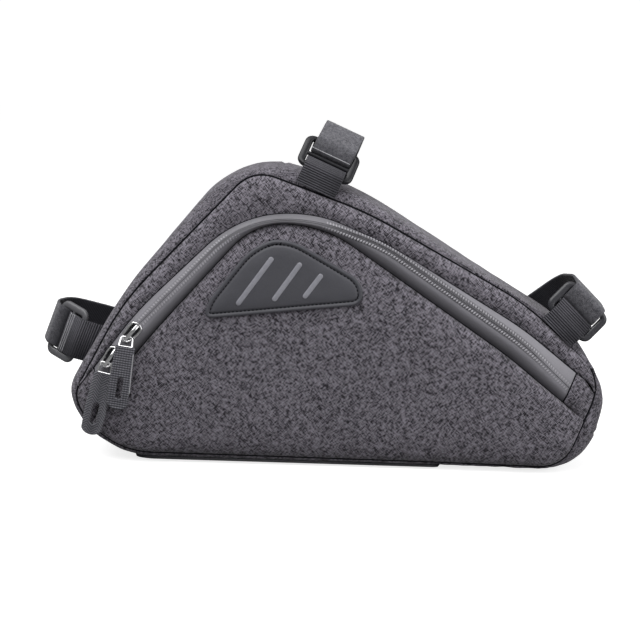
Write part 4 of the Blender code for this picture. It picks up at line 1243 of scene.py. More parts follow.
def beadTree():
    # beads along a line whose points know their up and how far they stand out
    tree, given, result = newTree("beadsAlong", "GeometryNodeTree", (
        ("Geometry", "Geometry", None), ("Pitch", "Float", 0.0016), ("Length", "Float", 0.0018),
        ("Width", "Float", 0.0008), ("Height", "Float", 0.0006), ("Slant", "Float", 0.0),
        ("Jitter", "Float", 0.08), ("Seed", "Int", 1), ("Material", "Material", None)),
        (("Geometry", "Geometry"),))
    points, rotation = pointsAlong(tree, given)
    slant = addNode(tree, "FunctionNodeEulerToRotation")
    feed(tree, slant.inputs[0], flatPair(tree, 0.0, 0.0, given["Slant"]))
    turned = addNode(tree, "FunctionNodeRotateRotation", rotation_space="LOCAL")
    feed(tree, turned.inputs["Rotation"], rotation)
    feed(tree, turned.inputs["Rotate By"], slant.outputs[0])
    ball = addNode(tree, "GeometryNodeMeshUVSphere")
    ball.inputs["Segments"].default_value = 8
    ball.inputs["Rings"].default_value = 6
    ball.inputs["Radius"].default_value = 0.5
    strength = addNode(tree, "GeometryNodeInputNamedAttribute", data_type="FLOAT")
    strength.inputs["Name"].default_value = "strength"
    chance = addNode(tree, "FunctionNodeRandomValue", data_type="FLOAT")
    feed(tree, chance.inputs[2], calc(tree, "SUBTRACT", 1.0, given["Jitter"]))
    feed(tree, chance.inputs[3], calc(tree, "ADD", 1.0, given["Jitter"]))
    feed(tree, chance.inputs["Seed"], given["Seed"])
    size = flatPair(tree, calc(tree, "MULTIPLY", given["Length"], chance.outputs[1]), given["Width"],
                     calc(tree, "MULTIPLY", given["Height"], strength.outputs[0]))
    shown = addNode(tree, "FunctionNodeCompare", data_type="FLOAT", operation="GREATER_THAN")
    feed(tree, shown.inputs[0], strength.outputs[0])
    shown.inputs[1].default_value = 0.06
    place = addNode(tree, "GeometryNodeInstanceOnPoints")
    feed(tree, place.inputs["Points"], points)
    feed(tree, place.inputs["Selection"], shown.outputs[0])
    feed(tree, place.inputs["Instance"], ball.outputs[0])
    feed(tree, place.inputs["Rotation"], turned.outputs[0])
    feed(tree, place.inputs["Scale"], size)
    finishTree(tree, result, place.outputs[0], given)
    return tree


def ribTree():
    # round ribs laid across a band, one at every pitch
    tree, given, result = newTree("ribsAcross", "GeometryNodeTree", (
        ("Geometry", "Geometry", None), ("Pitch", "Float", 0.0012), ("Thickness", "Float", 0.0006),
        ("Width", "Float", 0.022), ("Material", "Material", None)), (("Geometry", "Geometry"),))
    points, rotation = pointsAlong(tree, given)
    rod = addNode(tree, "GeometryNodeMeshCylinder", fill_type="NGON")
    rod.inputs["Vertices"].default_value = 8
    rod.inputs["Radius"].default_value = 0.5
    rod.inputs["Depth"].default_value = 1.0
    lay = addNode(tree, "GeometryNodeTransform")
    feed(tree, lay.inputs["Geometry"], rod.outputs["Mesh"])
    lay.inputs["Rotation"].default_value = (math.pi / 2, 0.0, 0.0)
    place = addNode(tree, "GeometryNodeInstanceOnPoints")
    feed(tree, place.inputs["Points"], points)
    feed(tree, place.inputs["Instance"], lay.outputs[0])
    feed(tree, place.inputs["Rotation"], rotation)
    # dark gaps stay between the ribs
    ribWidth = calc(tree, "MULTIPLY", given["Pitch"], 0.66)
    feed(tree, place.inputs["Scale"], flatPair(tree, ribWidth, given["Width"], given["Thickness"]))
    finishTree(tree, result, place.outputs[0], given)
    return tree


beadsAlong, ribsAcross = beadTree(), ribTree()


def alongLines(name, lines, tree, values, material):
    # lines hold rows of (place, up, strength)
    vertices, edges, ups, strengths = [], [], [], []
    for line in lines:
        first = len(vertices)
        for place, up, strength in line:
            vertices.append(tuple(place))
            ups += list(up)
            strengths.append(strength)
        edges += [(first + step, first + step + 1) for step in range(len(line) - 1)]
    mesh = bpy.data.meshes.new(name)
    mesh.from_pydata(vertices, edges, [])
    mesh.attributes.new("up", "FLOAT_VECTOR", "POINT").data.foreach_set("vector", ups)
    thing = bpy.data.objects.new(name, mesh)
    markPoints(thing, "strength", strengths)
    bpy.context.scene.collection.objects.link(thing)
    modifier = thing.modifiers.new(tree.name, "NODES")
    modifier.node_group = tree
    for socket in tree.interface.items_tree:
        if socket.item_type == "SOCKET" and socket.in_out == "INPUT":
            if socket.name == "Material":
                modifier[socket.identifier] = material
            elif socket.name in values:
                modifier[socket.identifier] = values[socket.name]
    bakeModifiers(thing)
    if material.name not in [slot.name for slot in thing.data.materials if slot]:
        thing.data.materials.append(material)
    return thing


# The two rows of beads stand on the tape, on either side of the slit

def buildZipBumps():
    find = surfaceFinder([tapeUpper, tapeLower])
    stations = shares(zipBumps["start"], zipEnds[1] - zipBumps["endMargin"], 300)
    slit = [rails["slit"].at(share) for share in stations]
    for name, side in (("bumps_upper", -1), ("bumps_lower", 1)):
        line = []
        for share, point in zip(stations, shifted(slit, side * zipBumps["offset"])):
            place, up = find(point.x, point.y)
            line.append((place - up * zipBumps["sink"], up, bumpStrength(share)))
        piece = alongLines(name, [line], beadsAlong, {
            "Pitch": zipBumps["pitch"], "Length": zipBumps["length"], "Width": zipBumps["width"],
            "Height": zipBumps["height"], "Slant": side * zipBumps["slant"], "Seed": 5 + side},
            materials["coil"])
        dress(piece, "zip_tape")


buildZipBumps()
print("zip bumps made")


# Flat plates with rounded edges, used for the patch, the bars and the pull tabs

def insetOutline(points, distance):
    moved = []
    count = len(points)
    area = sum(points[index - 1].x * points[index].y - points[index].x * points[index - 1].y
               for index in range(count))
    sign = 1 if area > 0 else -1
    for index in range(count):
        way = (points[(index + 1) % count] - points[index - 1]).normalized()
        moved.append(points[index] + Vector((-way.y, way.x)) * distance * sign)
    return moved


def evenOutline(points, spacing):
    line = Line(points, closed=True)
    steps = max(12, round(line.length() / spacing))
    return [line.at(step / steps) for step in range(steps)]


def insideShape(place, outline):
    inside = False
    count = len(outline)
    for index in range(count):
        a, b = outline[index], outline[(index + 1) % count]
        if (a.y > place.y) != (b.y > place.y):
            if place.x < (b.x - a.x) * (place.y - a.y) / (b.y - a.y) + a.x:
                inside = not inside
    return inside


def plateMesh(name, outline, holes, rings, spacing, raised, toWorld, material):
    # a sheet cut to an outline. raised(distance, place) gives its top and bottom by the distance to an edge.
    loops = [outline] + holes
    segments = []
    for loop in loops:
        segments += [(loop[index], loop[(index + 1) % len(loop)]) for index in range(len(loop))]
    starts = np.array([tuple(a) for a, _ in segments])
    spans = np.array([tuple(b - a) for a, b in segments])
    lengths = (spans ** 2).sum(axis=1) + 1e-18

    def edgeDistance(place):
        offset = np.array(tuple(place)) - starts
        part = np.clip((offset * spans).sum(axis=1) / lengths, 0, 1)
        return float(np.sqrt(((offset - spans * part[:, None]) ** 2).sum(axis=1).min()))

    def inSheet(place):
        return insideShape(place, outline) and not any(insideShape(place, hole) for hole in holes)

    points, edges = [], []
    for loop in loops:
        base = len(points)
        points += loop
        edges += [(base + index, base + (index + 1) % len(loop)) for index in range(len(loop))]
    for distance in rings:
        for number, loop in enumerate(loops):
            ring = insetOutline(loop, distance if number == 0 else -distance)
            for place in ring:
                if inSheet(place) and edgeDistance(place) > distance * 0.93:
                    points.append(place)
    lowX, highX = min(p.x for p in outline), max(p.x for p in outline)
    lowY, highY = min(p.y for p in outline), max(p.y for p in outline)
    limit = (max(rings) if rings else 0) + spacing * 0.6
    for row in range(int((highY - lowY) / spacing) + 1):
        for column in range(int((highX - lowX) / spacing) + 1):
            place = Vector((lowX + (column + 0.5 * (row % 2)) * spacing, lowY + row * spacing))
            if inSheet(place) and edgeDistance(place) > limit:
                points.append(place)
    found = delaunay_2d_cdt([Vector((p.x, p.y)) for p in points], edges, [], 0, 1e-9)
    flat, triangles = found[0], found[2]
    kept = []
    for triangle in triangles:
        middle = sum((flat[index] for index in triangle), Vector((0, 0))) / 3
        if inSheet(middle):
            kept.append(tuple(triangle))
    count = len(flat)
    top, bottom = [], []
    for place in flat:
        high, low = raised(edgeDistance(place), place)
        top.append(toWorld(place.x, place.y, high))
        bottom.append(toWorld(place.x, place.y, low))
    faces = list(kept) + [tuple(index + count for index in reversed(triangle)) for triangle in kept]
    directed = {}
    for triangle in kept:
        for step in range(3):
            directed[(triangle[step], triangle[(step + 1) % 3])] = True
    for first, second in directed:
        if (second, first) not in directed:
            faces.append((second, first, first + count, second + count))
    places = list(flat) + list(flat)
    uvs = [(places[index].x, places[index].y) for face in faces for index in face]
    thing = newObject(name, top + bottom, faces, material, uvs)
    if signedVolume(thing.data) < 0:
        thing.data.flip_normals()
    return thing


def roundedRise(distance, radius):
    # the profile of a rounded edge, from 0 at the edge to 1 past the radius
    if distance >= radius:
        return 1.0
    return math.sqrt(max(0.0, 1 - (1 - distance / radius) ** 2))


# Patch and bars

patch = {
    "corners": ((-0.252, 0.495, 0.035), (-0.243, 0.556, 0.030), (-0.160, 0.752, 0.084),
                (-0.100, 0.773, 0.069), (0.044, 0.631, 0.059), (0.039, 0.556, 0.035)),
    "wall": 0.00115,
    "seamInset": 0.0025,
    "grooveWidth": 0.0011,
    "grooveDepth": 0.0007,
    "stitchPitch": 0.0021,
    "stitchLength": 0.0015,
    "stitchWidth": 0.00075,
    "bars": {"left": (-0.129, 0.700, -0.187, 0.553), "middle": (-0.077, 0.684, -0.121, 0.570),
             "right": (-0.038, 0.649, -0.065, 0.582)},
    "barWidth": 0.0027,
    "barWall": 0.00022,
}


def slotOutline(start, end, radius, steps=10):
    way = (end - start).normalized()
    side = Vector((-way.y, way.x))
    points = []
    for place, sign in ((end, 1), (start, -1)):
        for step in range(steps + 1):
            angle = math.pi * step / steps
            points.append(place + (side * math.cos(angle) + way * math.sin(angle)) * radius * sign)
    return points


def buildPatch():
    find = surfaceFinder([panelPiece])
    corners = [(bodyPoint(x, z), reach * body["height"], 12) for x, z, reach in patch["corners"]]
    outline = evenOutline(roundedPath(corners, closed=True), 0.0012)

    def raised(distance, _):
        top = patch["wall"] * roundedRise(distance, 0.0006)
        top += 0.0002 * math.exp(-((distance - 0.0011) / 0.0008) ** 2)
        fromGroove = (distance - patch["seamInset"]) / (patch["grooveWidth"] / 2)
        top -= patch["grooveDepth"] * math.exp(-fromGroove ** 2)
        top += 0.0006 * min(1.0, max(0.0, (distance - patch["seamInset"]) / 0.005)) ** 0.7
        return top + 0.0001, -0.0002

    def standingOn(surface):
        def toWorld(x, z, height):
            place, _ = surface(x, z)
            return place.x, place.y - height, place.z
        return toWorld

    def barRaised(distance, _):
        return patch["barWall"] * roundedRise(distance, 0.0003), -0.0001

    rings = (0.0002, 0.0006, 0.0012, 0.0018, 0.0022, 0.0025, 0.0028, 0.0033, 0.0040)
    piece = plateMesh("patch_skin", outline, [], rings, 0.0016, raised, standingOn(find), materials["patch"])
    dress(piece, "coated_patch", "patch")
    onPatch = surfaceFinder([piece])
    for side, (topX, topZ, lowX, lowZ) in patch["bars"].items():
        low, high = bodyPoint(lowX, lowZ), bodyPoint(topX, topZ)
        shape = evenOutline(slotOutline(low, high, patch["barWidth"] / 2), 0.0004)
        bar = plateMesh("bar_" + side, shape, [], (0.0001, 0.0003), 0.0008, barRaised, standingOn(onPatch),
                        materials["bars"])
        dress(bar, "reflective", "reflective_bar_" + side)
    line = []
    seam = insetOutline(outline, patch["seamInset"])
    for place in seam + [seam[0]]:
        spot, up = onPatch(place.x, place.y)
        line.append((spot + up * 0.00005, up, 1.0))
    stitches = alongLines("patch_stitches", [line], beadsAlong, {
        "Pitch": patch["stitchPitch"], "Length": patch["stitchLength"], "Width": patch["stitchWidth"],
        "Height": 0.0008, "Slant": 0.06, "Jitter": 0.06, "Seed": 9}, materials["thread"])
    dress(stitches, "coated_patch")


buildPatch()
print("patch made")


# Zip sliders, their wire links and the pull tabs

slider = {
    "length": 0.0130,
    "width": 0.0078,
    "wall": 0.0018,
    "rim": 0.0009,
    "recess": 0.0007,
    "bridgeWidth": 0.0019,
    "bridgeHeight": 0.0030,
    "bridgeWall": 0.0009,
    "wire": 0.00060,
    "linkTop": 0.0060,
    "linkBottom": 0.0072,
    "linkLength": 0.0056,
    "places": {"upper": (0.143, 7.5, 34), "lower": (0.093, 12.5, 12)},    # share, lean and swing in degrees
}
pull = {
    "topWidth": 0.0102,
    "width": 0.0118,
    "length": 0.0345,
    "wall": 0.0016,
    "slotWidth": 0.0030,
    "slotLength": 0.0118,
    "welt": 0.0007,
    "litEdge": "upper",     # the pull whose right edge shows a light thread
}


def buildSlider(name):
    share, lean, swing = slider["places"][name]
    place = rails["slit"].at(share)
    way = rails["slit"].direction(share)
    side = Vector((-way.y, way.x))
    floor = body["halfDepth"] + body["ridgeRise"] * endFade(share) + body["clearance"]

    def toWorld(along, across, height):
        flat = place + way * along + side * across
        return Vector((flat.x, -floor - height, flat.y))

    halfLength, halfWidth = slider["length"] / 2, slider["width"] / 2
    shape = [(-1.0, -0.42), (-0.55, -0.90), (0.25, -1.0), (0.80, -0.92), (1.0, -0.30), (1.0, 0.30),
             (0.80, 0.92), (0.25, 1.0), (-0.55, 0.90), (-1.0, 0.42)]
    corners = [(Vector((x * halfLength, y * halfWidth)), 0.0008, 4) for x, y in shape]
    outline = evenOutline(roundedPath(corners, closed=True), 0.0005)

    def raised(distance, _):
        rim = roundedRise(distance, 0.0004)
        drop = min(1.0, max(0.0, (distance - slider["rim"]) / 0.0004))
        return slider["wall"] * rim - slider["recess"] * drop, -0.0006

    rings = (0.0001, 0.0004, 0.0009, 0.0011, 0.0013)
    plate = plateMesh("slider_" + name + "_body", outline, [], rings, 0.0008, raised, toWorld,
                      materials["metal"])
    # the floor of the recess is darker metal
    plate.data.materials.append(materials["darkMetal"])
    middle = -floor - slider["wall"] + slider["recess"] * 0.6
    for polygon in plate.data.polygons:
        if polygon.center.y > middle and polygon.normal.y < -0.8 and polygon.center.y < -floor:
            polygon.material_index = 1
    foot = 0.86 * halfLength
    top = slider["wall"] + slider["bridgeHeight"]
    arch = [Vector((-foot, slider["recess"])), Vector((-foot, top - 0.0009)), Vector((-foot + 0.0020, top)),
            Vector((foot - 0.0030, top)), Vector((foot, top - 0.0022)), Vector((foot, slider["recess"]))]
    line = Line(easedPath(arch, 8)).evenly(48)
    centres, sides, ups = [], [], []
    for index, point in enumerate(line):
        ahead = line[min(index + 1, len(line) - 1)] - line[max(index - 1, 0)]
        ahead.normalize()
        up = Vector((-ahead.y, ahead.x))
        centres.append(toWorld(point.x, 0, point.y))
        sides.append(Vector((side.x, 0, side.y)))
        ups.append(Vector((way.x * up.x, -up.y, way.y * up.x)))
    section = ovalSection(slider["bridgeWidth"] / 2, slider["bridgeWall"] / 2, 16, 0.6)
    bridge = sweep("bridge", centres, sides, ups, section, materials["metal"])
    joinMeshes(plate, [bridge])
    dress(plate, "bright_metal", "slider_" + name)

    # the link passes under the bridge and swings forward, and the pull tab hangs from it
    leanTurn, swingTurn = math.radians(lean), math.radians(swing)
    hang = Vector((-math.sin(leanTurn), -math.cos(leanTurn)))
    beside = Vector((-hang.y, hang.x))
    crossing = abs(beside.dot(side))
    room = (slider["wire"] + body["clearance"]) / crossing
    room += slider["bridgeWidth"] / 2 * math.sqrt(1 - crossing ** 2) / crossing
    eye = place - way * (foot - slider["bridgeWall"] - room)
    linkY = -floor - slider["wall"] - slider["wire"] - body["clearance"]
    forward = Vector((hang.x * math.cos(swingTurn), -math.sin(swingTurn), hang.y * math.cos(swingTurn)))
    across = Vector((beside.x, 0, beside.y))
    origin = Vector((eye.x, linkY, eye.y))
    halfTop, halfBottom, length = slider["linkTop"] / 2, slider["linkBottom"] / 2, slider["linkLength"]
    corners = [(Vector((offset, drop)), reach, 6) for offset, drop, reach in (
        (-halfTop, 0.0, 0.0012), (halfTop, 0.0, 0.0012), (halfBottom, length, 0.0007),
        (-halfBottom, length, 0.0007))]
    loop = Line(roundedPath(corners, closed=True), closed=True)
    loop = [loop.at(step / 90) for step in range(90)]
    flatUp = across.cross(forward).normalized()
    centres = [origin + across * point.x + forward * point.y for point in loop]
    link = sweep("link_" + name, centres, sidesAlong(centres, flatUp), [flatUp] * len(centres),
                 ovalSection(slider["wire"], slider["wire"], 12), materials["metal"], closed=True)
    dress(link, "bright_metal", "pull_link_" + name)
    bar = origin + forward * slider["linkLength"]
    buildPull(name, bar, hang, beside)


def buildPull(name, bar, hang, beside):
    half = pull["width"] / 2
    low = pull["length"]
    top = -0.0004
    corners = [(Vector((-pull["topWidth"] / 2, top)), 0.0010, 4), (Vector((-half, 0.6 * low)), 0.004, 5)]
    for step in range(1, 8):
        angle = math.pi - math.pi * step / 8
        drop = low - 0.8 * half + 0.8 * half * math.sin(angle)
        corners.append((Vector((half * math.cos(angle), drop)), 0.0004, 2))
    corners += [(Vector((half, 0.6 * low)), 0.004, 5), (Vector((pull["topWidth"] / 2, top)), 0.0010, 4)]
    outline = evenOutline(roundedPath(corners, closed=True), 0.0007)
    slotLow = Vector((0, low - 1.3 * half))
    slotTop = slotLow - Vector((0, pull["slotLength"] - pull["slotWidth"]))
    slot = evenOutline(slotOutline(slotTop, slotLow, pull["slotWidth"] / 2), 0.0005)
    halfWall = pull["wall"] / 2

    def raised(distance, spot):
        rim = roundedRise(distance, 0.00045)
        welt = 0.00022 * math.exp(-((distance - pull["welt"]) / 0.00035) ** 2)
        weltShare = min(1.0, max(0.0, (spot.y - 0.5 * low) / 0.004))
        height = halfWall * rim + welt * weltShare
        return height, -halfWall * rim

    def toWorld(across, drop, height):
        bow = 0.0006 * math.sin(min(1.0, drop / low) * math.pi)
        flat = hang * drop + beside * across
        return bar + Vector((flat.x, -height - bow, flat.y))

    rings = (0.00012, 0.00035, 0.0007, 0.0011)
    piece = plateMesh("pull_" + name, outline, [slot], rings, 0.0008, raised, toWorld,
                      materials["pull_" + name])
    if name == pull["litEdge"]:
        edge = []
        for step in range(25):
            drop = low * (0.10 + 0.62 * step / 24)
            widen = min(1.0, drop / (0.6 * low))
            across = (pull["topWidth"] + (pull["width"] - pull["topWidth"]) * widen) / 2 - 0.0004
            edge.append(toWorld(across, drop, halfWall))
        cord = sweep("pull_edge", edge, [(beside.x, 0, beside.y)] * 25, [(0, -1, 0)] * 25,
                     ovalSection(0.0003, 0.00025, 8), materials["hem"])
        dress(cord, "woven_pull")
    # painted shade: the wall of the slot takes the dark thread colour, for the shade inside it
    piece.data.materials.append(materials["thread"])
    eyelet = [toWorld(place.x, place.y, 0) for place in slot]
    for polygon in piece.data.polygons:
        if len(polygon.vertices) == 4 and min((polygon.center - place).length for place in eyelet) < 0.0006:
            polygon.material_index = 1
    dress(piece, "woven_pull", "pull_tab_" + name)


for sliderName in slider["places"]:
    buildSlider(sliderName)
print("sliders and pulls made")


# Strap loops: a webbing tab, a three-bar slide and a napped strap round the tube

# lengths in the side view of a loop are (share of half the depth, height over the gusset)
strapLoops = {
    "top": {"place": (-0.041, 0.953), "slide": -0.0012, "turn": -2.5, "root": (-1.045, -0.0064),
            "ring": (-1.00, 0.0034), "tilt": 36, "fold": (-0.10, 0.0284), "back": (0.60, 0.0232),
            "seam": -0.0062, "lean": 0.0044, "tabTop": 0.0048, "strapLow": 0.0093, "middle": 0.0070,
            "foldShade": 0.65, "glintRibs": 0, "hem": True, "plastic": "plastic"},
    "left": {"place": (-0.464, 0.382), "slide": 0.0, "turn": 9.0, "root": (-0.62, 0.0007),
             "ring": (-0.64, 0.0084), "tilt": 34, "fold": (-0.02, 0.0275), "back": (0.66, 0.0225),
             "seam": -0.0030, "lean": 0.0040, "tabTop": 0.0101, "strapLow": 0.0104, "middle": 0.0083,
             "foldShade": 0.95, "glintRibs": 3, "hem": False, "plastic": "plasticLit"},
    "right": {"place": (0.413, 0.494), "slide": 0.0, "turn": -6.0, "root": (-1.060, -0.0046),
              "ring": (-1.00, 0.0026), "tilt": 10, "fold": (-0.25, 0.0230), "back": (0.62, 0.0180),
              "seam": -0.0036, "lean": -0.0036, "tabTop": 0.0077, "strapLow": 0.0088, "middle": 0.0059,
              "foldShade": 0.60, "glintRibs": 0, "hem": False, "plastic": "plasticHalf"},
}
strap = {
    "width": 0.0222,
    "tabWall": 0.0012,
    "wall": 0.0013,
    "ringBar": 0.0015,
    "ringPlay": 0.0009,
    "ringAcross": 0.0196,
    "ringCorner": 0.0034,
    "turnRadius": 0.0014,
    "ribPitch": 0.00125,
    "ribThickness": 0.0007,
    "fuzz": 0.00012,
    "tabStep": 0.0004,      # length of one mesh step along the tab, and along the strap
    "bandStep": 0.0006,
    "foldDark": 0.0100,     # how long the painted shade on the strap lasts behind its slide, and how long that fades
    "foldFade": 0.0085,
    "lightRib": (0.00035, 0.0003),
    "glintRibPitch": 0.0013,
    "hem": (0.00028, 0.00022),
}
ringLength = strap["width"] + 2 * strap["ringPlay"] + 4 * strap["ringBar"]


def flatSection(width, wall, steps):
    # a flat band with round edges, counted round from one edge: the first half is the outer face
    half, radius = width / 2, wall / 2
    points = [(-half + radius + (width - wall) * step / steps, radius) for step in range(steps + 1)]
    for step in range(1, 4):
        angle = math.pi / 2 - math.pi * step / 4
        points.append((half - radius + radius * math.cos(angle), radius * math.sin(angle)))
    points += [(half - radius - (width - wall) * step / steps, -radius) for step in range(steps + 1)]
    for step in range(1, 4):
        angle = -math.pi / 2 - math.pi * step / 4
        points.append((-half + radius + radius * math.cos(angle), radius * math.sin(angle)))
    return points


def touchAngle(centre, radius, point, arriving):
    # where a straight line from or to the point touches the circle, which is followed clockwise
    offset = point - centre
    spread = math.acos(radius / offset.length)
    angle = math.atan2(offset.y, offset.x)
    return angle - spread if arriving else angle + spread


def arcPoints(centre, radius, start, end, steps):
    angles = [start + (end - start) * step / steps for step in range(steps + 1)]
    return [centre + Vector((math.cos(angle), math.sin(angle))) * radius for angle in angles]


def bandAlong(name, path, wall, world, leans, settle, spacing, material):
    # a flat band whose side view follows the path. settle is (share, slope): where it lies on the gusset and
    # how much the gusset slopes there.
    line = Line(path)
    steps = max(8, round(line.length() / spacing))
    points = line.evenly(steps)
    sewn, slope = settle
    centres, sides, ups = [], [], []
    for index, point in enumerate(points):
        share = index / steps
        lean = leans[0] + (leans[1] - leans[0]) * share
        turned = slope * max(0.0, 1 - abs(share - sewn) / 0.35)
        half = strap["width"] / 2
        right = world(point + Vector((0, -turned * (lean + half))), lean + half)
        left = world(point + Vector((0, -turned * (lean - half))), lean - half)
        centres.append((left + right) / 2)
        sides.append((right - left).normalized())
        ahead = (points[min(index + 1, steps)] - points[max(index - 1, 0)]).normalized()
        up = world(Vector((-ahead.y, ahead.x)), 0) - world(Vector((0, 0)), 0)
        up -= sides[-1] * up.dot(sides[-1])
        ups.append(up.normalized())
    section = flatSection(strap["width"], wall, 22)
    piece = sweep(name, centres, sides, ups, section, material)
    return piece, centres, ups, section


def markFaces(piece, section, count, foldShade):
    # faceUp is 1 on the outer face, edge is 1 on the round edges
    half, wall = strap["width"] / 2, strap["wall"]
    faceUp = [1.0 if up > 0.2 * wall else 0.0 for _, up in section]
    edge = [1.0 if abs(side) > half - 0.5 * wall else 0.0 for side, _ in section]
    # painted shade: the cloth is darkened beside the place where it turns round the slide
    shade = []
    for row in range(count):
        past = (row * strap["bandStep"] - strap["foldDark"]) / strap["foldFade"]
        shade += [foldShade * min(1.0, max(0.0, 1 - past))] * len(section)
    markPoints(piece, "foldShade", shade)
    markPoints(piece, "faceUp", faceUp * count)
    markPoints(piece, "edge", edge * count)


def roughen(piece, amount, scale, seed):
    mesh = piece.data
    mesh.update()
    normals = [vertex.normal.copy() for vertex in mesh.vertices]
    for vertex, normal in zip(mesh.vertices, normals):
        vertex.co += normal * amount * noise.noise(vertex.co * scale + Vector((seed, 0, 0)))


def buildRing(name, world, place, tilt, middleBar, material):
    across = Vector((math.sin(tilt), math.cos(tilt)))
    span = strap["ringAcross"] - 2 * strap["ringBar"]
    half = ringLength / 2 - strap["ringBar"]
    reach = strap["ringCorner"]
    corners = [(Vector((-half, 0)), reach, 8), (Vector((-half, span)), reach, 8),
               (Vector((half, span)), reach, 8), (Vector((half, 0)), reach, 8)]
    loop = Line(roundedPath(corners, closed=True), closed=True)
    count = 120
    flat = [loop.at(step / count) for step in range(count)]
    centres = [world(place + across * point.y, point.x) for point in flat]
    origin = world(Vector((0, 0)), 0)
    longWay = (world(Vector((0, 0)), 1) - origin).normalized()
    crossWay = (world(across, 0) - origin).normalized()
    up = longWay.cross(crossWay).normalized()
    # the two ends of the slide are wider and a little thinner than its bars
    scales = []
    for index in range(count):
        ahead = (centres[(index + 1) % count] - centres[index - 1]).normalized()
        ends = abs(ahead.dot(crossWay)) ** 2
        scales.append((1.0 + 0.42 * ends, 1.0 - 0.08 * ends))
    bar = strap["ringBar"]
    ring = sweep(name, centres, sidesAlong(centres, up), [up] * count, ovalSection(bar, bar, 16, 0.85),
                 material, closed=True, scales=scales)
    ends = [world(place + across * middleBar, -half), world(place + across * middleBar, half)]
    line = [ends[0].lerp(ends[1], step / 12) for step in range(13)]
    middle = sweep("middle", line, [crossWay] * 13, [up] * 13, ovalSection(bar * 0.75, bar * 0.7, 14),
                   material)
    joinMeshes(ring, [middle])
    return dress(ring, "ring_plastic", name.replace("_slide", "_ring"))


def buildStrapLoop(name, row):
    share = outlineLine.nearest(bodyPoint(*row["place"]))
    way = outlineLine.direction(share)
    place = outlineLine.at(share) + way * row["slide"]
    turn = math.radians(row["turn"])
    cosine, sine = math.cos(turn), math.sin(turn)
    across = Vector((way.x * cosine - way.y * sine, way.x * sine + way.y * cosine))
    outward = Vector((-across.y, across.x))
    slope = math.tan(turn)
    halfDepth = body["halfDepth"]

    def world(point, sideways):
        flat = place + outward * point.y + across * sideways
        return Vector((flat.x, point.x, flat.y))

    def acrossLoop(pieceName, spot, steps, size, material):
        # a thin cord straight across the band at a place of its side view
        reach = strap["width"] / 2 - 0.0002
        ends = world(spot, -reach), world(spot, reach)
        sideWay, upWay = ((world(flat, 0) - world(Vector((0, 0)), 0)).normalized() for flat in (up, frontWay))
        return sweep(pieceName, [ends[0].lerp(ends[1], step / steps) for step in range(steps + 1)],
                     [sideWay] * (steps + 1), [upWay] * (steps + 1), ovalSection(*size, 8), material)

    tilt = math.radians(row["tilt"])
    up = Vector((math.sin(tilt), math.cos(tilt)))
    nearBar = Vector((row["ring"][0] * halfDepth, row["ring"][1]))
    farBar = nearBar + up * (strap["ringAcross"] - 2 * strap["ringBar"])
    buildRing(name + "_slide", world, nearBar, tilt, row["middle"], materials[row["plastic"]])

    wrap = strap["ringBar"] + body["clearance"] + strap["tabWall"] / 2
    root = Vector((row["root"][0] * halfDepth, row["root"][1]))
    frontAngle = math.pi - tilt
    frontWay = Vector((-math.cos(tilt), math.sin(tilt)))
    start = max(touchAngle(nearBar, wrap, root, True) % (2 * math.pi), frontAngle)
    bend = strap["turnRadius"]
    crest = nearBar + up * (row["tabTop"] - bend)
    # a tab sewn on top of the gusset sinks into it at its root
    path = [root] if row["root"][0] < -0.9 else [root + Vector((0.0040, -0.0026)), root]
    path += arcPoints(nearBar, wrap, start, frontAngle, 12)
    path += arcPoints(crest, bend, frontAngle, frontAngle - math.pi, 20)
    path.append(crest - frontWay * bend - up * 0.0045)
    tab, centres, ups, _ = bandAlong(name + "_webbing", path, strap["tabWall"] * 0.72, world, (0.0, 0.0),
                                     (0, slope), strap["tabStep"], materials["webbing"])
    # the ribs stand on the side that looks away from the slide's bar
    outerSide = (centres[len(centres) // 2] - world(nearBar, 0)).dot(ups[len(ups) // 2]) > 0
    sign = 1 if outerSide else -1
    line = [(centre + upWay * sign * strap["tabWall"] * 0.30, upWay * sign, 1.0)
            for centre, upWay in zip(centres, ups)]
    ribs = alongLines(name + "_ribs", [line], ribsAcross, {
        "Pitch": strap["ribPitch"], "Thickness": strap["ribThickness"], "Width": strap["width"] - 0.0003},
        materials["rib"])
    # painted highlight: light cords across the tab stand for the glint on its ribs where it turns over the
    # slide's bar
    for number in range(row["glintRibs"]):
        spot = crest + frontWay * (bend + strap["tabWall"] * 0.6)
        spot -= up * (0.0002 + number * strap["glintRibPitch"])
        dress(acrossLoop(name + "_light_rib", spot, 20, strap["lightRib"], materials["lightRib"]), "webbing")
    dress(tab, "webbing", name + "_tab")
    dress(ribs, "webbing")

    wrap = strap["ringBar"] + body["clearance"] + strap["wall"] / 2
    fold = Vector((row["fold"][0] * halfDepth, row["fold"][1]))
    back = Vector((row["back"][0] * halfDepth, row["back"][1]))
    root = Vector((halfDepth + strap["wall"] / 2 + body["clearance"], row["seam"]))
    end = touchAngle(farBar, wrap, fold, False)
    sink = nearBar + up * (row["strapLow"] + bend)
    turnRound = arcPoints(sink, bend, frontAngle - math.pi, frontAngle - 2 * math.pi, 20)
    turnRound += arcPoints(farBar, wrap, frontAngle, min(end, frontAngle), 8)
    innerEnd = sink - frontWay * bend + up * 0.0062
    outer = roundedPath([(turnRound[-1], 0, 0), (fold, 0.0042, 12), (back, 0.0085, 14), (root, 0, 0)])
    path = [innerEnd] + turnRound + outer[1:]
    band, centres, _, section = bandAlong(name + "_band", path, strap["wall"], world, (0.0, row["lean"]),
                                          (1, slope), strap["bandStep"], materials["strap"])
    markFaces(band, section, len(centres), row["foldShade"])
    roughen(band, strap["fuzz"], 1300.0, 3.0)
    dress(band, "napped_strap", name + "_strap")
    if row["hem"]:
        low = sink + frontWay * (bend + strap["wall"] * 0.35) - up * bend * 0.4
        dress(acrossLoop(name + "_hem", low, 30, strap["hem"], materials["hem"]), "napped_strap")


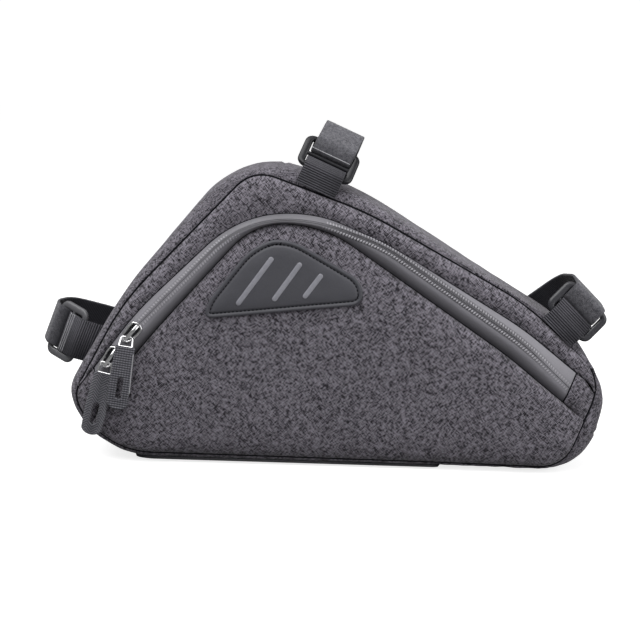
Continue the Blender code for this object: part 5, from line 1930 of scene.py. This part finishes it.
for loopName, loopRow in strapLoops.items():
    buildStrapLoop(loopName, loopRow)
print("strap loops made")


# Studio: pale floor, white surroundings, soft light from above and the photograph's camera

studio = {
    "target": (-0.0105, 0.0, 0.0763),
    "elevation": 10.0,
    "roll": 1.66,
    "distance": 0.8,
    "lens": 81.8,
    "skyLight": 0.42,
    "frontLight": 0.20,
    "shownSky": 1.05,
    "lamps": {
        "topSoftbox": {"shape": "RECTANGLE", "size": (1.2, 0.8), "power": 9.2, "place": (-0.30, -0.34, 0.85),
                       "aim": (-0.02, 0.0, 0.06)},
        "rightSoftbox": {"shape": "SQUARE", "size": (0.7, 0.7), "power": 3.2, "place": (0.75, -0.35, 0.30),
                         "aim": (0.05, 0.0, 0.06)},
    },
    "floorGlow": 0.78,
    "floorBounce": 0.22,
}


def buildStudio():
    scene = bpy.context.scene
    bpy.ops.mesh.primitive_plane_add(size=12, location=(0, 0, -0.0002))
    floor = bpy.context.object
    floor.name = "floor"
    # the camera sees a nearly white floor, and only a little of it is thrown back at the bag
    material, tree, shader = newMaterial("paleFloor", Roughness=0.9, Specular_IOR_Level=0.0)
    seen = addNode(tree, "ShaderNodeLightPath").outputs["Is Camera Ray"]
    tone = grain(tree, coordinates(tree), 3.0)
    pale = blendColours(tree, tone, (0.60, 0.60, 0.60), (0.63, 0.63, 0.63))
    bounce = (studio["floorBounce"],) * 3
    feed(tree, shader.inputs["Base Color"], blendColours(tree, seen, bounce, pale))
    shader.inputs["Emission Color"].default_value = (1.0, 1.0, 1.0, 1.0)
    feed(tree, shader.inputs["Emission Strength"], calc(tree, "MULTIPLY", seen, studio["floorGlow"]))
    floor.data.materials.append(material)

    world = bpy.data.worlds.new("studio")
    scene.world = world
    world.use_nodes = True
    tree = world.node_tree
    background = tree.nodes["Background"]
    height = splitAxes(tree, coordinates(tree, "Generated"))[2]
    high = ramp(tree, height, 0.15, 0.8, studio["frontLight"], studio["skyLight"])
    seen = addNode(tree, "ShaderNodeLightPath").outputs["Is Camera Ray"]
    feed(tree, background.inputs["Strength"], blendValues(tree, seen, high, studio["shownSky"]))
    background.inputs["Color"].default_value = (1.0, 1.0, 1.0, 1.0)

    for name, lamp in studio["lamps"].items():
        light = bpy.data.lights.new(name, "AREA")
        light.shape = lamp["shape"]
        light.size, light.size_y = lamp["size"]
        light.energy = lamp["power"]
        stand = bpy.data.objects.new(name, light)
        stand.location = lamp["place"]
        aim = Vector(lamp["aim"]) - stand.location
        stand.rotation_euler = aim.to_track_quat("-Z", "Y").to_euler()
        scene.collection.objects.link(stand)

    camera = bpy.data.cameras.new("photoCamera")
    camera.lens = studio["lens"]
    camera.sensor_width = 36
    camera.clip_start = 0.01
    holder = bpy.data.objects.new("photoCamera", camera)
    elevation, roll = math.radians(studio["elevation"]), math.radians(studio["roll"])
    target = Vector(studio["target"])
    backward = Vector((0, -math.cos(elevation), math.sin(elevation)))
    holder.location = target + backward * studio["distance"]
    right = Vector((1, 0, 0))
    up = backward.cross(right)
    turnedRight = right * math.cos(roll) + up * math.sin(roll)
    turnedUp = up * math.cos(roll) - right * math.sin(roll)
    turn = [[turnedRight[axis], turnedUp[axis], backward[axis]] for axis in range(3)]
    holder.rotation_euler = Matrix(turn).to_euler()
    scene.collection.objects.link(holder)
    scene.camera = holder
    scene.view_settings.view_transform = "Standard"


buildStudio()
print("studio made")
